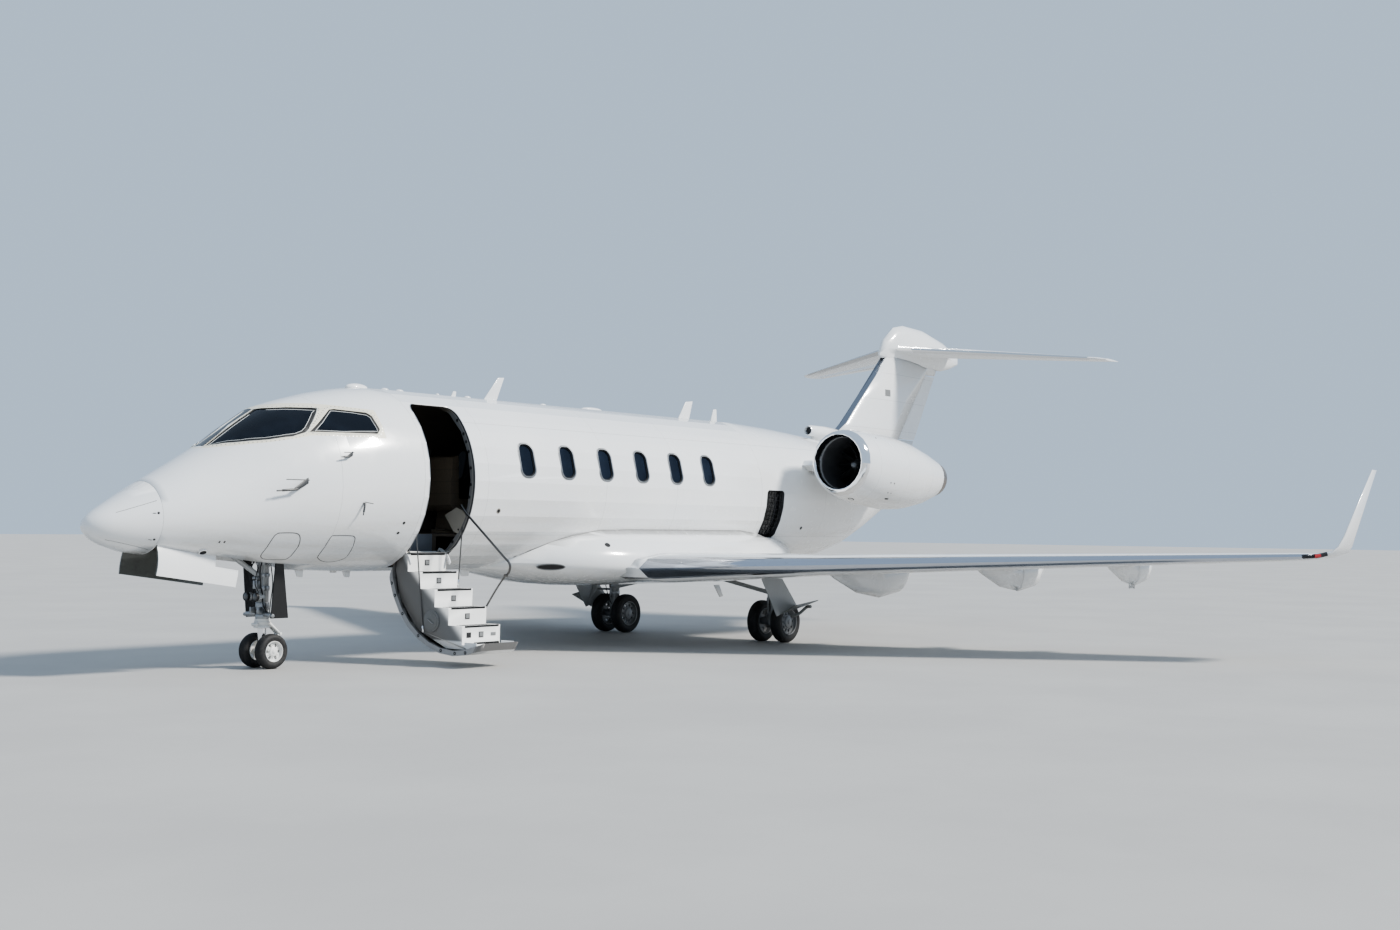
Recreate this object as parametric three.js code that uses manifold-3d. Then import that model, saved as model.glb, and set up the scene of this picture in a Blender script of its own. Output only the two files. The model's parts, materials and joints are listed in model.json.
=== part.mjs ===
// A twin-engined business jet parked on its gear, airstair down, as an assembly of named pieces.
// Millimetres. Drawn in stations: x runs aft from the tip of the nose, y to starboard, z up from
// the ground. The last group moves it so that the origin is on the ground under its middle.
import * as THREE from "three";
import { mergeVertices } from "three/addons/utils/BufferGeometryUtils.js";
import Module from "manifold-3d";

const wasm = await Module();
wasm.setup();

// Driving dimensions of the whole aircraft
const LENGTH = 20920;
const SEAM = 0.3; // gap where two fixed pieces meet
const CLEAR = 8; // gap round a moving piece
const SKIN = 90; // wall of the fuselage with its frames and lining
const HULL_HALF_WIDTH = 1200;
const HULL_CROWN = 3745;
const HULL_KEEL = 1226;
const HULL_WAIST = 2485;
const FLOOR_TOP = 1750;
const FLOOR_THICK = 40;

// Where the fuselage pieces meet, in stations
const RADOME_END = 740;
const NOSE_END = 4240;
const CABIN_END = 11900;
const AFT_END = 16200;

// Port doorway and the airstair that closes it
const DOOR = { front: 4330, rear: 5150, sill: 1490, head: 3510, corner: 120 };
const AIRSTAIR = { hingeY: -500, hingeZ: 1485, open: 122.5 };
const HINGE_PIN = 20;
const STRINGER = 22; // thickness of the stair's side plates
const SWING_ROOM = 260; // radius round the hinge that the fold of the stair needs

// Cabin windows, the same on both sides
const WINDOW = { first: 6215, pitch: 845, count: 6, centre: 2807, width: 280, height: 462, corner: 110 };

// Baggage door opening, port side only
const BAGGAGE = { front: 12050, rear: 12560, sill: 1720, head: 2530, corner: 70 };

// Landing gear
const NOSE_WHEEL = { x: 2586, radius: 225, width: 150, spacing: 330, rim: 135 };
const MAIN_WHEEL = { x: 11516, radius: 340, width: 190, spacing: 466, rim: 214, track: 3458 };
const NOSE_STRUT_X = 2560;

// Engines
const NACELLE = { front: 12950, y: 2030, z: 3030, droop: 3.2 };

// Fuselage sections: station, half width, crown, keel, height of the widest point
const NOSE_SECTIONS = [
  [0, 34, 1852, 1782, 1817],
  [45, 135, 1922, 1708, 1817],
  [120, 215, 1985, 1645, 1822],
  [225, 290, 2054, 1590, 1832],
  [480, 408, 2210, 1507, 1868],
  [830, 530, 2412, 1464, 1918],
  [1200, 648, 2620, 1430, 1975],
  [1581, 762, 2840, 1392, 2040],
  [1950, 866, 3108, 1344, 2120],
  [2316, 957, 3352, 1306, 2205],
  [2700, 1040, 3478, 1277, 2290],
  [3104, 1108, 3588, 1254, 2370],
  [3550, 1162, 3680, 1236, 2440],
  [3943, 1190, 3735, 1228, 2475],
  [NOSE_END, HULL_HALF_WIDTH, HULL_CROWN, HULL_KEEL, HULL_WAIST],
];
const TAIL_SECTIONS = [
  [12200, 1200, 3745, 1226, 2485],
  [13300, 1200, 3700, 1226, 2485],
  [14100, 1165, 3646, 1262, 2500],
  [14800, 1090, 3594, 1352, 2540],
  [15500, 985, 3542, 1510, 2600],
  [16200, 880, 3488, 1790, 2690],
  [17000, 750, 3430, 2160, 2800],
  [17800, 600, 3376, 2535, 2930],
  [18500, 440, 3330, 2835, 3050],
  [19000, 315, 3300, 2980, 3130],
  [19200, 245, 3286, 3030, 3150],
];

// Wing sections on the port side: span, leading edge, chord, height, thickness, cant
const WING_SECTIONS = [
  [1000, 7620, 4780, 1250, 0.088, 0],
  [1700, 8069, 4310, 1257, 0.112, 0],
  [3800, 9416, 2900, 1332, 0.11, 0],
  [9700, 13212, 1180, 1546, 0.1, 0],
  [9980, 13400, 1040, 1562, 0.09, 8],
  [10130, 13510, 840, 1610, 0.085, 35],
  [10205, 13600, 680, 1700, 0.08, 60],
  [10255, 13705, 560, 1850, 0.08, 72],
  [10500, 14250, 230, 2830, 0.08, 74],
];
const LEADING_EDGE_CHORD = 0.09;
// Moving pieces of the wing: inner and outer span, and where each starts, as parts of the chord
const FLAP_INBOARD = { inner: 1870, outer: 3560, start: 0.825 };
const FLAP_OUTBOARD = { inner: 4300, outer: 7660, start: 0.755 };
const AILERON = { inner: 7780, outer: 9400, start: 0.77 };
// Flap track fairings: span, front, rear, underside, half width
const FLAP_FAIRINGS = [
  [3790, 9850, 12560, 800, 130],
  [5700, 11000, 13450, 940, 120],
  [7300, 12100, 13900, 1060, 110],
];

// Fin sections: height, leading edge, chord, thickness
const FIN_SECTIONS = [
  [3150, 15048, 3510, 0.11],
  [3950, 16120, 2950, 0.11],
  [4500, 16720, 2680, 0.11],
  [5450, 17700, 2270, 0.11],
];
const RUDDER = { low: 3760, high: 5130, hingeLowX: 18240, hingeHighX: 19330 };
// Fairing on top of the fin: station, half width, crown, keel, height of the widest point
const BULLET_SECTIONS = [
  [17560, 22, 5480, 5400, 5440],
  [17730, 100, 5760, 5310, 5530],
  [18100, 155, 6030, 5280, 5600],
  [18470, 175, 6105, 5270, 5620],
  [19250, 170, 6080, 5270, 5620],
  [20050, 130, 5915, 5290, 5590],
  [20450, 95, 5772, 5372, 5570],
  [20760, 40, 5640, 5480, 5560],
];
const BULLET_SIDES = 14;
// Tailplane sections: span, leading edge, chord, height, thickness, cant
const TAILPLANE_SECTIONS = [
  [0, 17900, 2250, 5590, 0.09, 0],
  [3560, 20090, 830, 5378, 0.08, 0],
  [3680, 20260, 640, 5371, 0.06, 0],
];
const ELEVATOR = { inner: 420, outer: 3470, start: 0.7 };

// Belly fairing sections: station, half width, top, keel, height of the widest point
const FAIRING_SECTIONS = [
  [6150, 240, 1400, 1215, 1300],
  [6480, 640, 1640, 1150, 1330],
  [6900, 1000, 1840, 1075, 1330],
  [7400, 1330, 1950, 1000, 1310],
  [7950, 1560, 2000, 960, 1290],
  [8500, 1600, 2010, 945, 1290],
  [11500, 1580, 2010, 945, 1310],
  [12300, 1380, 1970, 985, 1330],
  [13100, 1000, 1830, 1075, 1350],
  [13700, 560, 1600, 1170, 1350],
  [14100, 200, 1420, 1240, 1340],
];

// Solids

// A closed three.js geometry as a solid that can be joined and cut, its faces turned outwards.
function solid(geometry) {
  const bare = geometry.index ? geometry.toNonIndexed() : geometry.clone();
  for (const name of Object.keys(bare.attributes)) {
    if (name !== "position") bare.deleteAttribute(name);
  }
  const merged = mergeVertices(bare, 1e-3);
  const at = merged.attributes.position;
  const faces = [];
  let volume = 0;
  const [a, b, c] = [new THREE.Vector3(), new THREE.Vector3(), new THREE.Vector3()];
  for (let i = 0; i < merged.index.count; i += 3) {
    const [p, q, r] = [0, 1, 2].map((k) => merged.index.getX(i + k));
    if (p === q || q === r || r === p) continue;
    faces.push([p, q, r]);
    a.fromBufferAttribute(at, p);
    b.fromBufferAttribute(at, q);
    c.fromBufferAttribute(at, r);
    volume += a.dot(b.cross(c));
  }
  const ordered = volume < 0 ? faces.map(([p, q, r]) => [p, r, q]) : faces;
  const mesh = new wasm.Mesh({
    numProp: 3,
    vertProperties: new Float32Array(at.array),
    triVerts: new Uint32Array(ordered.flat()),
  });
  return new wasm.Manifold(mesh);
}

function geometryOf(body) {
  const mesh = body.getMesh();
  const geometry = new THREE.BufferGeometry();
  geometry.setAttribute("position", new THREE.BufferAttribute(new Float32Array(mesh.vertProperties), 3));
  geometry.setIndex(new THREE.BufferAttribute(new Uint32Array(mesh.triVerts), 1));
  geometry.computeVertexNormals();
  return geometry;
}

const join = (...bodies) => bodies.reduce((all, body) => all.add(body));
const cut = (body, ...tools) => tools.reduce((left, tool) => left.subtract(tool), body);

// The same solid on the other side of the aircraft.
function mirrored(body) {
  return solid(geometryOf(body).scale(1, -1, 1));
}

function turned(body, degrees, axis, centre) {
  const turn = new THREE.Matrix4().makeRotationAxis(axis, THREE.MathUtils.degToRad(degrees));
  const there = new THREE.Matrix4().makeTranslation(...centre);
  const back = new THREE.Matrix4().makeTranslation(...centre.map((v) => -v));
  return solid(geometryOf(body).applyMatrix4(there.multiply(turn).multiply(back)));
}

function block(x0, x1, y0, y1, z0, z1) {
  const box = new THREE.BoxGeometry(x1 - x0, y1 - y0, z1 - z0);
  return solid(box.translate((x0 + x1) / 2, (y0 + y1) / 2, (z0 + z1) / 2));
}

// An outline drawn in two of the axes and run along the third, from one value to another.
function prism(shape, along, from, to, curveSegments = 4) {
  const corners = (points) => points.map(([u, v]) => new THREE.Vector2(u, v));
  const outline = Array.isArray(shape) ? new THREE.Shape(corners(shape)) : shape;
  const run = new THREE.ExtrudeGeometry(outline, { depth: to - from, bevelEnabled: false, curveSegments });
  run.translate(0, 0, from);
  const [x, y, z] = [new THREE.Vector3(1, 0, 0), new THREE.Vector3(0, 1, 0), new THREE.Vector3(0, 0, 1)];
  const axes = { x: [y, z, x], y: [x, z, y], z: [x, y, z] }[along];
  return solid(run.applyMatrix4(new THREE.Matrix4().makeBasis(...axes)));
}

function roundedShape(u0, u1, v0, v1, corner) {
  const shape = new THREE.Shape();
  shape.moveTo(u0 + corner, v0);
  shape.lineTo(u1 - corner, v0);
  shape.absarc(u1 - corner, v0 + corner, corner, -Math.PI / 2, 0);
  shape.lineTo(u1, v1 - corner);
  shape.absarc(u1 - corner, v1 - corner, corner, 0, Math.PI / 2);
  shape.lineTo(u0 + corner, v1);
  shape.absarc(u0 + corner, v1 - corner, corner, Math.PI / 2, Math.PI);
  shape.lineTo(u0, v0 + corner);
  shape.absarc(u0 + corner, v0 + corner, corner, Math.PI, Math.PI * 1.5);
  return shape;
}

// A turned shape: its profile is radius and distance along the line from a to b.
function turning(profile, a, b, sides = 24) {
  const points = profile.map(([radius, along]) => new THREE.Vector2(radius, along));
  const geometry = new THREE.LatheGeometry(points, sides);
  const [start, end] = [new THREE.Vector3(...a), new THREE.Vector3(...b)];
  const way = end.clone().sub(start).normalize();
  const swing = new THREE.Quaternion().setFromUnitVectors(new THREE.Vector3(0, 1, 0), way);
  geometry.applyQuaternion(swing);
  return solid(geometry.translate(start.x, start.y, start.z));
}

function rod(a, b, radius, sides = 12, endRadius = radius) {
  const length = new THREE.Vector3(...a).distanceTo(new THREE.Vector3(...b));
  return turning([[0, 0], [radius, 0], [endRadius, length], [0, length]], a, b, sides);
}

function bentTube(points, radius, steps) {
  const corners = points.map((p) => new THREE.Vector3(...p));
  const extrudePath = new THREE.CatmullRomCurve3(corners, false, "centripetal");
  const ring = new THREE.Shape();
  ring.absarc(0, 0, radius, 0, Math.PI * 2);
  const along = { steps, extrudePath, curveSegments: 4, bevelEnabled: false };
  return solid(new THREE.ExtrudeGeometry(ring, along));
}

// A skin over rings with the same number of points, closed at both ends. Each ring starts on the
// line about which its points pair up, so that the ends are closed by strips between the pairs.
function loft(rings) {
  const count = rings[0].length;
  const index = [];
  for (let r = 0; r + 1 < rings.length; r += 1) {
    for (let i = 0; i < count; i += 1) {
      const [a, b] = [r * count + i, r * count + ((i + 1) % count)];
      // The quads of one half are split the other way, so that both halves mirror each other.
      const [c, d] = [a + count, b + count];
      index.push(...(i < count / 2 ? [a, b, d, a, d, c] : [a, b, c, b, d, c]));
    }
  }
  const cap = (start, flip) => {
    for (let i = 0; i < count / 2; i += 1) {
      const [a, b] = [start + i, start + i + 1];
      const [c, d] = [start + ((count - i) % count), start + count - i - 1];
      const strip = i === 0 ? [[a, d, b]] : [[a, c, b], [b, c, d]];
      for (const [p, q, s] of strip) {
        if (p !== q && q !== s && s !== p) index.push(...(flip ? [p, s, q] : [p, q, s]));
      }
    }
  };
  cap(0, false);
  cap((rings.length - 1) * count, true);
  const geometry = new THREE.BufferGeometry();
  geometry.setAttribute("position", new THREE.Float32BufferAttribute(rings.flat(2), 3));
  geometry.setIndex(index);
  return solid(geometry);
}

// Fuselage

// A ring of the fuselage: half an ellipse above its widest point and half an ellipse below.
function hullRing([x, halfWidth, crown, keel, waist], sides, inset = 0) {
  return Array.from({ length: sides }, (_, i) => {
    const turn = Math.PI / 2 + (i / sides) * Math.PI * 2;
    const rise = Math.sin(turn) > 0 ? crown - inset - waist : waist - keel - inset;
    return [x, (halfWidth - inset) * Math.cos(turn), waist + rise * Math.sin(turn)];
  });
}

const hull = (sections, sides, inset = 0) => loft(sections.map((s) => hullRing(s, sides, inset)));

// A section of the table at any station, between its neighbours.
function sectionAt(table, x) {
  const after = table.findIndex((s) => s[0] >= x);
  if (after <= 0) return table[0];
  const [a, b] = [table[after - 1], table[after]];
  const part = (x - a[0]) / (b[0] - a[0]);
  return a.map((v, i) => v + (b[i] - v) * part);
}

const HULL_SECTIONS = [...NOSE_SECTIONS, ...TAIL_SECTIONS];
const HULL_SIDES = 32;
const LINING_SIDES = 20;

// The stretch of the fuselage between two stations.
function stretch(from, to, sides, inset = 0) {
  const inside = HULL_SECTIONS.filter((s) => s[0] > from + 1 && s[0] < to - 1);
  return hull([sectionAt(HULL_SECTIONS, from), ...inside, sectionAt(HULL_SECTIONS, to)], sides, inset);
}

// Its lower corners are square, so that the round ones of the door can swing up into them.
const doorShape = (gap) => roundedShape(
  DOOR.front + gap, DOOR.rear - gap, DOOR.sill + gap, DOOR.head - gap, DOOR.corner - gap,
);
const doorway = join(
  prism(doorShape(0), "y", -1400, -380),
  block(DOOR.front, DOOR.rear, -1400, -380, DOOR.sill, DOOR.sill + 200),
);
const windowHoles = Array.from({ length: WINDOW.count }, (_, i) => {
  const x = WINDOW.first + i * WINDOW.pitch;
  const shape = roundedShape(
    x - WINDOW.width / 2, x + WINDOW.width / 2,
    WINDOW.centre - WINDOW.height / 2, WINDOW.centre + WINDOW.height / 2, WINDOW.corner,
  );
  return prism(shape, "y", -1300, 1300, 2);
});
const baggageShape = roundedShape(BAGGAGE.front, BAGGAGE.rear, BAGGAGE.sill, BAGGAGE.head, BAGGAGE.corner);
const baggageHole = prism(baggageShape, "y", -1700, -700);

// Windscreen panes, port side: outline seen from the front, in y and z
const WINDSCREEN_OUTLINE = [
  [-75, 2822], [-450, 2875], [-640, 2915], [-745, 2965], [-775, 3040],
  [-700, 3190], [-600, 3330], [-555, 3366], [-360, 3360], [-75, 3325],
];
// Cockpit side window: outline seen from the side, in station and z
const SIDE_WINDOW_OUTLINE = [
  [2640, 3035], [2860, 3200], [3060, 3350], [3130, 3362],
  [3540, 3335], [3600, 3290], [3625, 3110], [3570, 3050],
];

// The post between the panes, seen from the side: the windscreen lies ahead of this line.
const WINDSCREEN_LIMIT = [
  [1000, 2600], [2100, 2600], [2560, 2990], [2655, 3078], [2945, 3370], [2945, 3600], [1000, 3600],
];
const windscreenTool = (outline, limit) =>
  prism(outline, "x", 1000, 3000).intersect(prism(limit, "y", -1300, -20));

const windscreenHole = windscreenTool(WINDSCREEN_OUTLINE, WINDSCREEN_LIMIT);
const sideWindowHole = prism(SIDE_WINDOW_OUTLINE, "y", -1300, -500);

// Nose gear bay, below the cockpit floor
const NOSE_BAY = { front: 756, rear: 2900, half: 345, top: 1660, wall: 12 };

function noseSection() {
  const shell = cut(
    stretch(RADOME_END + SEAM, NOSE_END - SEAM, HULL_SIDES),
    stretch(1300, NOSE_END + 400, LINING_SIDES, SKIN),
  );
  const { front, rear, half, top, wall } = NOSE_BAY;
  const bayWalls = block(front - wall, rear + wall, -half - wall, half + wall, 1100, top + wall);
  const bay = block(front, rear, -half, half, 1000, top);
  const room = stretch(RADOME_END + SEAM, NOSE_END - SEAM, LINING_SIDES, SKIN / 2);
  const open = cut(join(shell, bayWalls.intersect(room)), bay);
  const holes = [windscreenHole, sideWindowHole];
  const glazed = cut(open, ...holes, ...holes.map(mirrored));
  const hingeRod = rod(...FRONT_HINGE.map((point) => point.toArray()), CLEAR - SEAM, 10);
  return join(glazed, hingeRod, mirrored(hingeRod), jackPad(NOSE_PAD));
}

function radome() {
  return stretch(0, RADOME_END, HULL_SIDES);
}

const stairHingeRod = (from, to, radius, sides) => rod(
  [from, AIRSTAIR.hingeY, AIRSTAIR.hingeZ], [to, AIRSTAIR.hingeY, AIRSTAIR.hingeZ], radius, sides,
);

function cabinSection() {
  const shell = cut(
    stretch(NOSE_END, CABIN_END - SEAM, HULL_SIDES),
    stretch(NOSE_END - 400, CABIN_END + 400, LINING_SIDES, SKIN),
  );
  const swing = stairHingeRod(DOOR.front, DOOR.rear, SWING_ROOM, 20);
  const { hingeY, hingeZ } = AIRSTAIR;
  // A pin from each side of the doorway reaches the hinge tube of the stair.
  const root = 45;
  const foot = [hingeY - 30, hingeY + 30, 1400, hingeZ + 30];
  const brackets = [
    stairHingeRod(DOOR.front - root, STAIR.front - STRINGER - SEAM, HINGE_PIN, 10),
    block(DOOR.front - root, DOOR.front, ...foot),
    stairHingeRod(STAIR.rear + STRINGER + SEAM, DOOR.rear + root, HINGE_PIN, 10),
    block(DOOR.rear, DOOR.rear + root, ...foot),
  ];
  return join(cut(shell, doorway, swing, ...windowHoles), ...brackets);
}

const BULKHEAD = { front: 13850, rear: 13900 };

function aftSection() {
  const shell = cut(
    stretch(CABIN_END, AFT_END - SEAM, HULL_SIDES),
    stretch(CABIN_END - 400, AFT_END + 400, LINING_SIDES, SKIN),
  );
  const wall = stretch(BULKHEAD.front, BULKHEAD.rear, LINING_SIDES, SKIN / 2);
  return cut(join(shell, wall), baggageHole);
}

function tailCone() {
  const outer = stretch(AFT_END, 19200, HULL_SIDES);
  const inner = stretch(AFT_END - 400, 19000, LINING_SIDES, SKIN);
  const exhaust = rod([18600, 0, 3155], [19400, 0, 3155], 95, 16);
  return cut(outer, inner, exhaust);
}

// Inboard edge of the well that the airstair folds into, with the riser that closes it
const ENTRY_EDGE = -375;

function cabinFloor() {
  const room = stretch(1420, CABIN_END - 60, LINING_SIDES, SKIN + SEAM);
  const slab = block(1400, CABIN_END, -1300, 1300, FLOOR_TOP - FLOOR_THICK, FLOOR_TOP);
  const entry = block(DOOR.front - 60, DOOR.rear + 60, -1300, ENTRY_EDGE, 1600, 1900);
  const riser = block(DOOR.front - 60, DOOR.rear + 60, ENTRY_EDGE, ENTRY_EDGE + 20, 1430, FLOOR_TOP);
  return join(cut(room.intersect(slab), entry), riser);
}

// Furnishings

function instrumentPanel() {
  const foot = FLOOR_TOP + SEAM;
  const hood = [[1900, 2560], [2250, 2640], [2290, 2600], [2290, 2180], [2230, 2140], [1980, 2300]];
  const pedestal = [[2150, foot], [2900, foot], [2900, 2120], [2280, 2300], [2150, 2300]];
  return join(prism(hood, "y", -620, 620), prism(pedestal, "y", -150, 150));
}

// Side views of a seat and of its stand: distance behind its middle, and height above the floor
const SEAT_SIDE = [[-280, 330], [260, 330], [330, 420], [300, 1130], [170, 1160], [150, 520], [-290, 500]];
const SEAT_STAND = [[-180, 40], [180, 40], [150, 340], [-150, 340]];

// A seat at x and y. The back is aft of the cushion where facing is 1, and ahead of it where it is -1.
function seat([x, y, facing], width) {
  const placed = (side) => side.map(([along, up]) => [x + facing * along, FLOOR_TOP + up]);
  const half = width / 2;
  return join(
    prism(placed(SEAT_SIDE), "y", y - half, y + half),
    prism(placed(SEAT_STAND), "y", y - half * 0.7, y + half * 0.7),
  );
}

// Seats of one kind stand on a shared pair of floor rails.
function seatRow({ places, width, rails: [from, to], ties }) {
  const sides = [...new Set(places.map(([, y]) => y))];
  const foot = FLOOR_TOP + SEAM;
  const rails = sides.map((y) => block(from, to, y - 40, y + 40, foot, FLOOR_TOP + 60));
  const across = ties.map((x) =>
    block(x, x + 60, Math.min(...sides), Math.max(...sides), foot, FLOOR_TOP + 30));
  return join(...places.map((place) => seat(place, width)), ...rails, ...across);
}

// Places of the seats: station, y, facing
const PILOT_SEATS = {
  places: [[3150, -470, 1], [3150, 470, 1]],
  width: 480,
  rails: [2960, 3500],
  ties: [3440],
};
const CABIN_SEAT_Y = 652.8;
const CABIN_SEATS = {
  places: [[6500, -1], [7850, 1], [8750, -1], [10050, 1]].flatMap(([x, facing]) => [
    [x, -CABIN_SEAT_Y, facing], [x, CABIN_SEAT_Y, facing],
  ]),
  width: 560,
  rails: [6100, 10500],
  ties: [6150, 10400],
};

// Glass panes sit in the thickness of the wall, a seam away from the edges of their holes.
function pane(hole, from, to) {
  const layer = cut(stretch(from, to, HULL_SIDES, 14), stretch(from - 50, to + 50, HULL_SIDES, 34));
  return layer.intersect(hole);
}

const PANE_SEAM = 0.6;

const inset = (outline, by) => {
  const centre = outline.reduce(([u, v], [p, q]) => [u + p / outline.length, v + q / outline.length], [0, 0]);
  return outline.map(([u, v]) => {
    const reach = Math.hypot(u - centre[0], v - centre[1]);
    const keep = (reach - by) / reach;
    return [centre[0] + (u - centre[0]) * keep, centre[1] + (v - centre[1]) * keep];
  });
};

const windscreenPane = () => {
  const limit = WINDSCREEN_LIMIT.map(([x, z]) => [x - PANE_SEAM, z]);
  return pane(windscreenTool(inset(WINDSCREEN_OUTLINE, PANE_SEAM), limit), 1400, 3300);
};
const sideWindowPane = () => pane(prism(inset(SIDE_WINDOW_OUTLINE, PANE_SEAM), "y", -1300, -500), 2200, 3900);

// Wing

const CHORD_POINTS = 7;

// Half the thickness of an aerofoil at a part of its chord, as a part of the chord.
const halfThickness = (thickness, x) =>
  5 * thickness * (0.2969 * Math.sqrt(x) - 0.126 * x - 0.3516 * x * x + 0.2843 * x ** 3 - 0.1 * x ** 4);

// The points of an aerofoil, as parts of the chord: nose first, over the top, back underneath.
function aerofoil(thickness) {
  const parts = Array.from({ length: CHORD_POINTS }, (_, i) => (i + 1) / CHORD_POINTS);
  const upper = parts.map((part) => (1 - Math.cos(Math.PI * part)) / 2);
  const over = upper.map((x) => [x, halfThickness(thickness, x)]);
  const under = [...over].reverse().map(([x, half]) => [x, -half]);
  return [[0, 0], ...over, ...under];
}

// A ring of a wing on the port side, its thickness turned up by the cant.
function wingRing([span, lead, chord, height, thickness, cant], grow = 0) {
  const lean = THREE.MathUtils.degToRad(cant);
  return aerofoil(thickness).map(([x, t]) => [
    lead + x * chord + (x < 0.01 ? -grow : 0),
    -span + Math.sin(lean) * (t * chord + Math.sign(t) * grow),
    height + Math.cos(lean) * (t * chord + Math.sign(t) * grow),
  ]);
}

function wingAt(table, span) {
  const after = Math.max(1, table.findIndex((s) => s[0] >= span));
  const [a, b] = [table[after - 1], table[after]];
  const part = (span - a[0]) / (b[0] - a[0]);
  return a.map((v, i) => v + (b[i] - v) * part);
}

const chordPoint = (table, span, part) => {
  const [, lead, chord] = wingAt(table, span);
  return lead + chord * part;
};

const wholeWing = loft(WING_SECTIONS.map((s) => wingRing(s)));
const fairingRings = (grow = 0) => FAIRING_SECTIONS.map((s) => hullRing(s, LINING_SIDES, -grow));

// Plan of a piece of the wing, aft of a line across the chord. The line of its ends is square to
// that line, so a piece that turns about it keeps its distance from what is beside it.
function trailingPlan(table, surface, grow = 0) {
  const { start, end, at } = surfaceAxes(table, surface);
  const reach = 1700;
  return [at(start, -grow, -grow), at(end, grow, -grow), at(end, grow, reach), at(start, -grow, reach)];
}

// The front line of a moving surface, and a way to step along it and square to it.
function surfaceAxes(table, { inner, outer, start: part }) {
  const front = (span) => [chordPoint(table, span, part), -span];
  const [start, end] = [front(inner), front(outer)];
  const length = Math.hypot(end[0] - start[0], end[1] - start[1]);
  const along = [(end[0] - start[0]) / length, (end[1] - start[1]) / length];
  const aft = [-along[1], along[0]];
  const at = ([x, y], outward, back) => [
    x + along[0] * outward + aft[0] * back, y + along[1] * outward + aft[1] * back,
  ];
  return { start, end, front, at };
}

const slabOf = (plan, low = 300, high = 3400) => prism(plan, "z", low, high);

// Plan of the polished leading edge, from its root beside the fairing to its tip.
function leadingPlan(grow = 0) {
  const [root, tip] = [1700 - grow, 9960 + grow];
  const edge = [root, 3800, 9700, tip].map((span) => [
    chordPoint(WING_SECTIONS, span, LEADING_EDGE_CHORD) + grow, -span,
  ]);
  return [[6000, -root], ...edge, [6000, -tip]];
}

// The nose of a moving surface is turned about its hinge, and so is the hollow it lies in.
const HINGE_SIDES = 14;
const hingeBar = (a, b, radiusA, radiusB) => rod(a, b, radiusA, HINGE_SIDES, radiusB);

// Half the depth of a wing at a span and a part of its chord.
function halfDepth(table, span, part) {
  const [, , chord, , thickness] = wingAt(table, span);
  return halfThickness(thickness, part) * chord;
}

function surfaceTool(table, surface, grow = 0) {
  const place = (span) => [chordPoint(table, span, surface.start), -span, wingAt(table, span)[3]];
  const [a, b] = [place(surface.inner), place(surface.outer)];
  const [ra, rb] = [surface.inner, surface.outer].map((s) => halfDepth(table, s, surface.start));
  const way = new THREE.Vector3(...b).sub(new THREE.Vector3(...a)).normalize().multiplyScalar(grow);
  const [start, end] = [a.map((v, i) => v - way.getComponent(i)), b.map((v, i) => v + way.getComponent(i))];
  const nose = hingeBar(start, end, ra + grow - 1, rb + grow - 1);
  const plan = trailingPlan(table, surface, grow);
  const [low, high] = [Math.min(a[2], b[2]) - 200, Math.max(a[2], b[2]) + 250];
  // The plan starts at the hinge, because the turned nose reaches ahead of it.
  const aft = trailingPlan(table, surface, 0);
  const shift = [aft[0], aft[1]].map(([x], i) => [x, plan[i][1]]);
  return join(nose, slabOf([shift[0], shift[1], plan[2], plan[3]], low, high));
}

// Pins on the hinge line of a moving surface, from the walls of its hollow up to its ends.
function hingePins(a, b, gap = CLEAR) {
  const way = new THREE.Vector3(...b).sub(new THREE.Vector3(...a)).normalize();
  const shifted = (point, by) => point.map((v, i) => v + way.getComponent(i) * by);
  const [root, seat, radius, sides] = [4, 0.75, 8, 8];
  return join(
    rod(shifted(a, -gap - root), shifted(a, -seat), radius, sides),
    rod(shifted(b, seat), shifted(b, gap + root), radius, sides),
  );
}

function surfacePins(table, surface) {
  const place = (span) => [chordPoint(table, span, surface.start), -span, wingAt(table, span)[3]];
  return hingePins(place(surface.inner), place(surface.outer));
}

// Parts of a track fairing's length, depth and width
const TRACK_SHAPE = [
  [0, 0.08, 0.1], [0.12, 0.4, 0.55], [0.35, 0.82, 0.9], [0.6, 1, 1], [0.84, 0.84, 0.84], [1, 0.14, 0.2],
];
const TRACK_SIDES = 10;

// A flap track fairing under the wing: a slim body, deepest past its middle.
function trackFairing([span, front, rear, under, half]) {
  const top = wingAt(WING_SECTIONS, span)[3] + 10;
  const length = rear - front;
  return loft(TRACK_SHAPE.map(([along, depth, width]) => {
    const bottom = top - (top - under) * depth;
    const waist = top - (top - bottom) * 0.35;
    const ring = hullRing([front + length * along, half * width, top, bottom, waist], TRACK_SIDES);
    return ring.map(([x, y, z]) => [x, y - span, z]);
  }));
}

const outboardPlan = (grow = 0) => trailingPlan(WING_SECTIONS, FLAP_OUTBOARD, grow);
const fairingSolids = FLAP_FAIRINGS.map(trackFairing);

// The outboard flap turns about a line below it. On its two fairings a tongue of the flap's part
// sits between the lugs of the wing's part.
const FLAP_PIVOTS = [[5700, 985], [7300, 1043]]; // span, height
const PIVOT = { ahead: 60, half: 20, seat: 0.75, boss: 18, tongue: 13, lug: 45, fairingGap: 24 };

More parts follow.
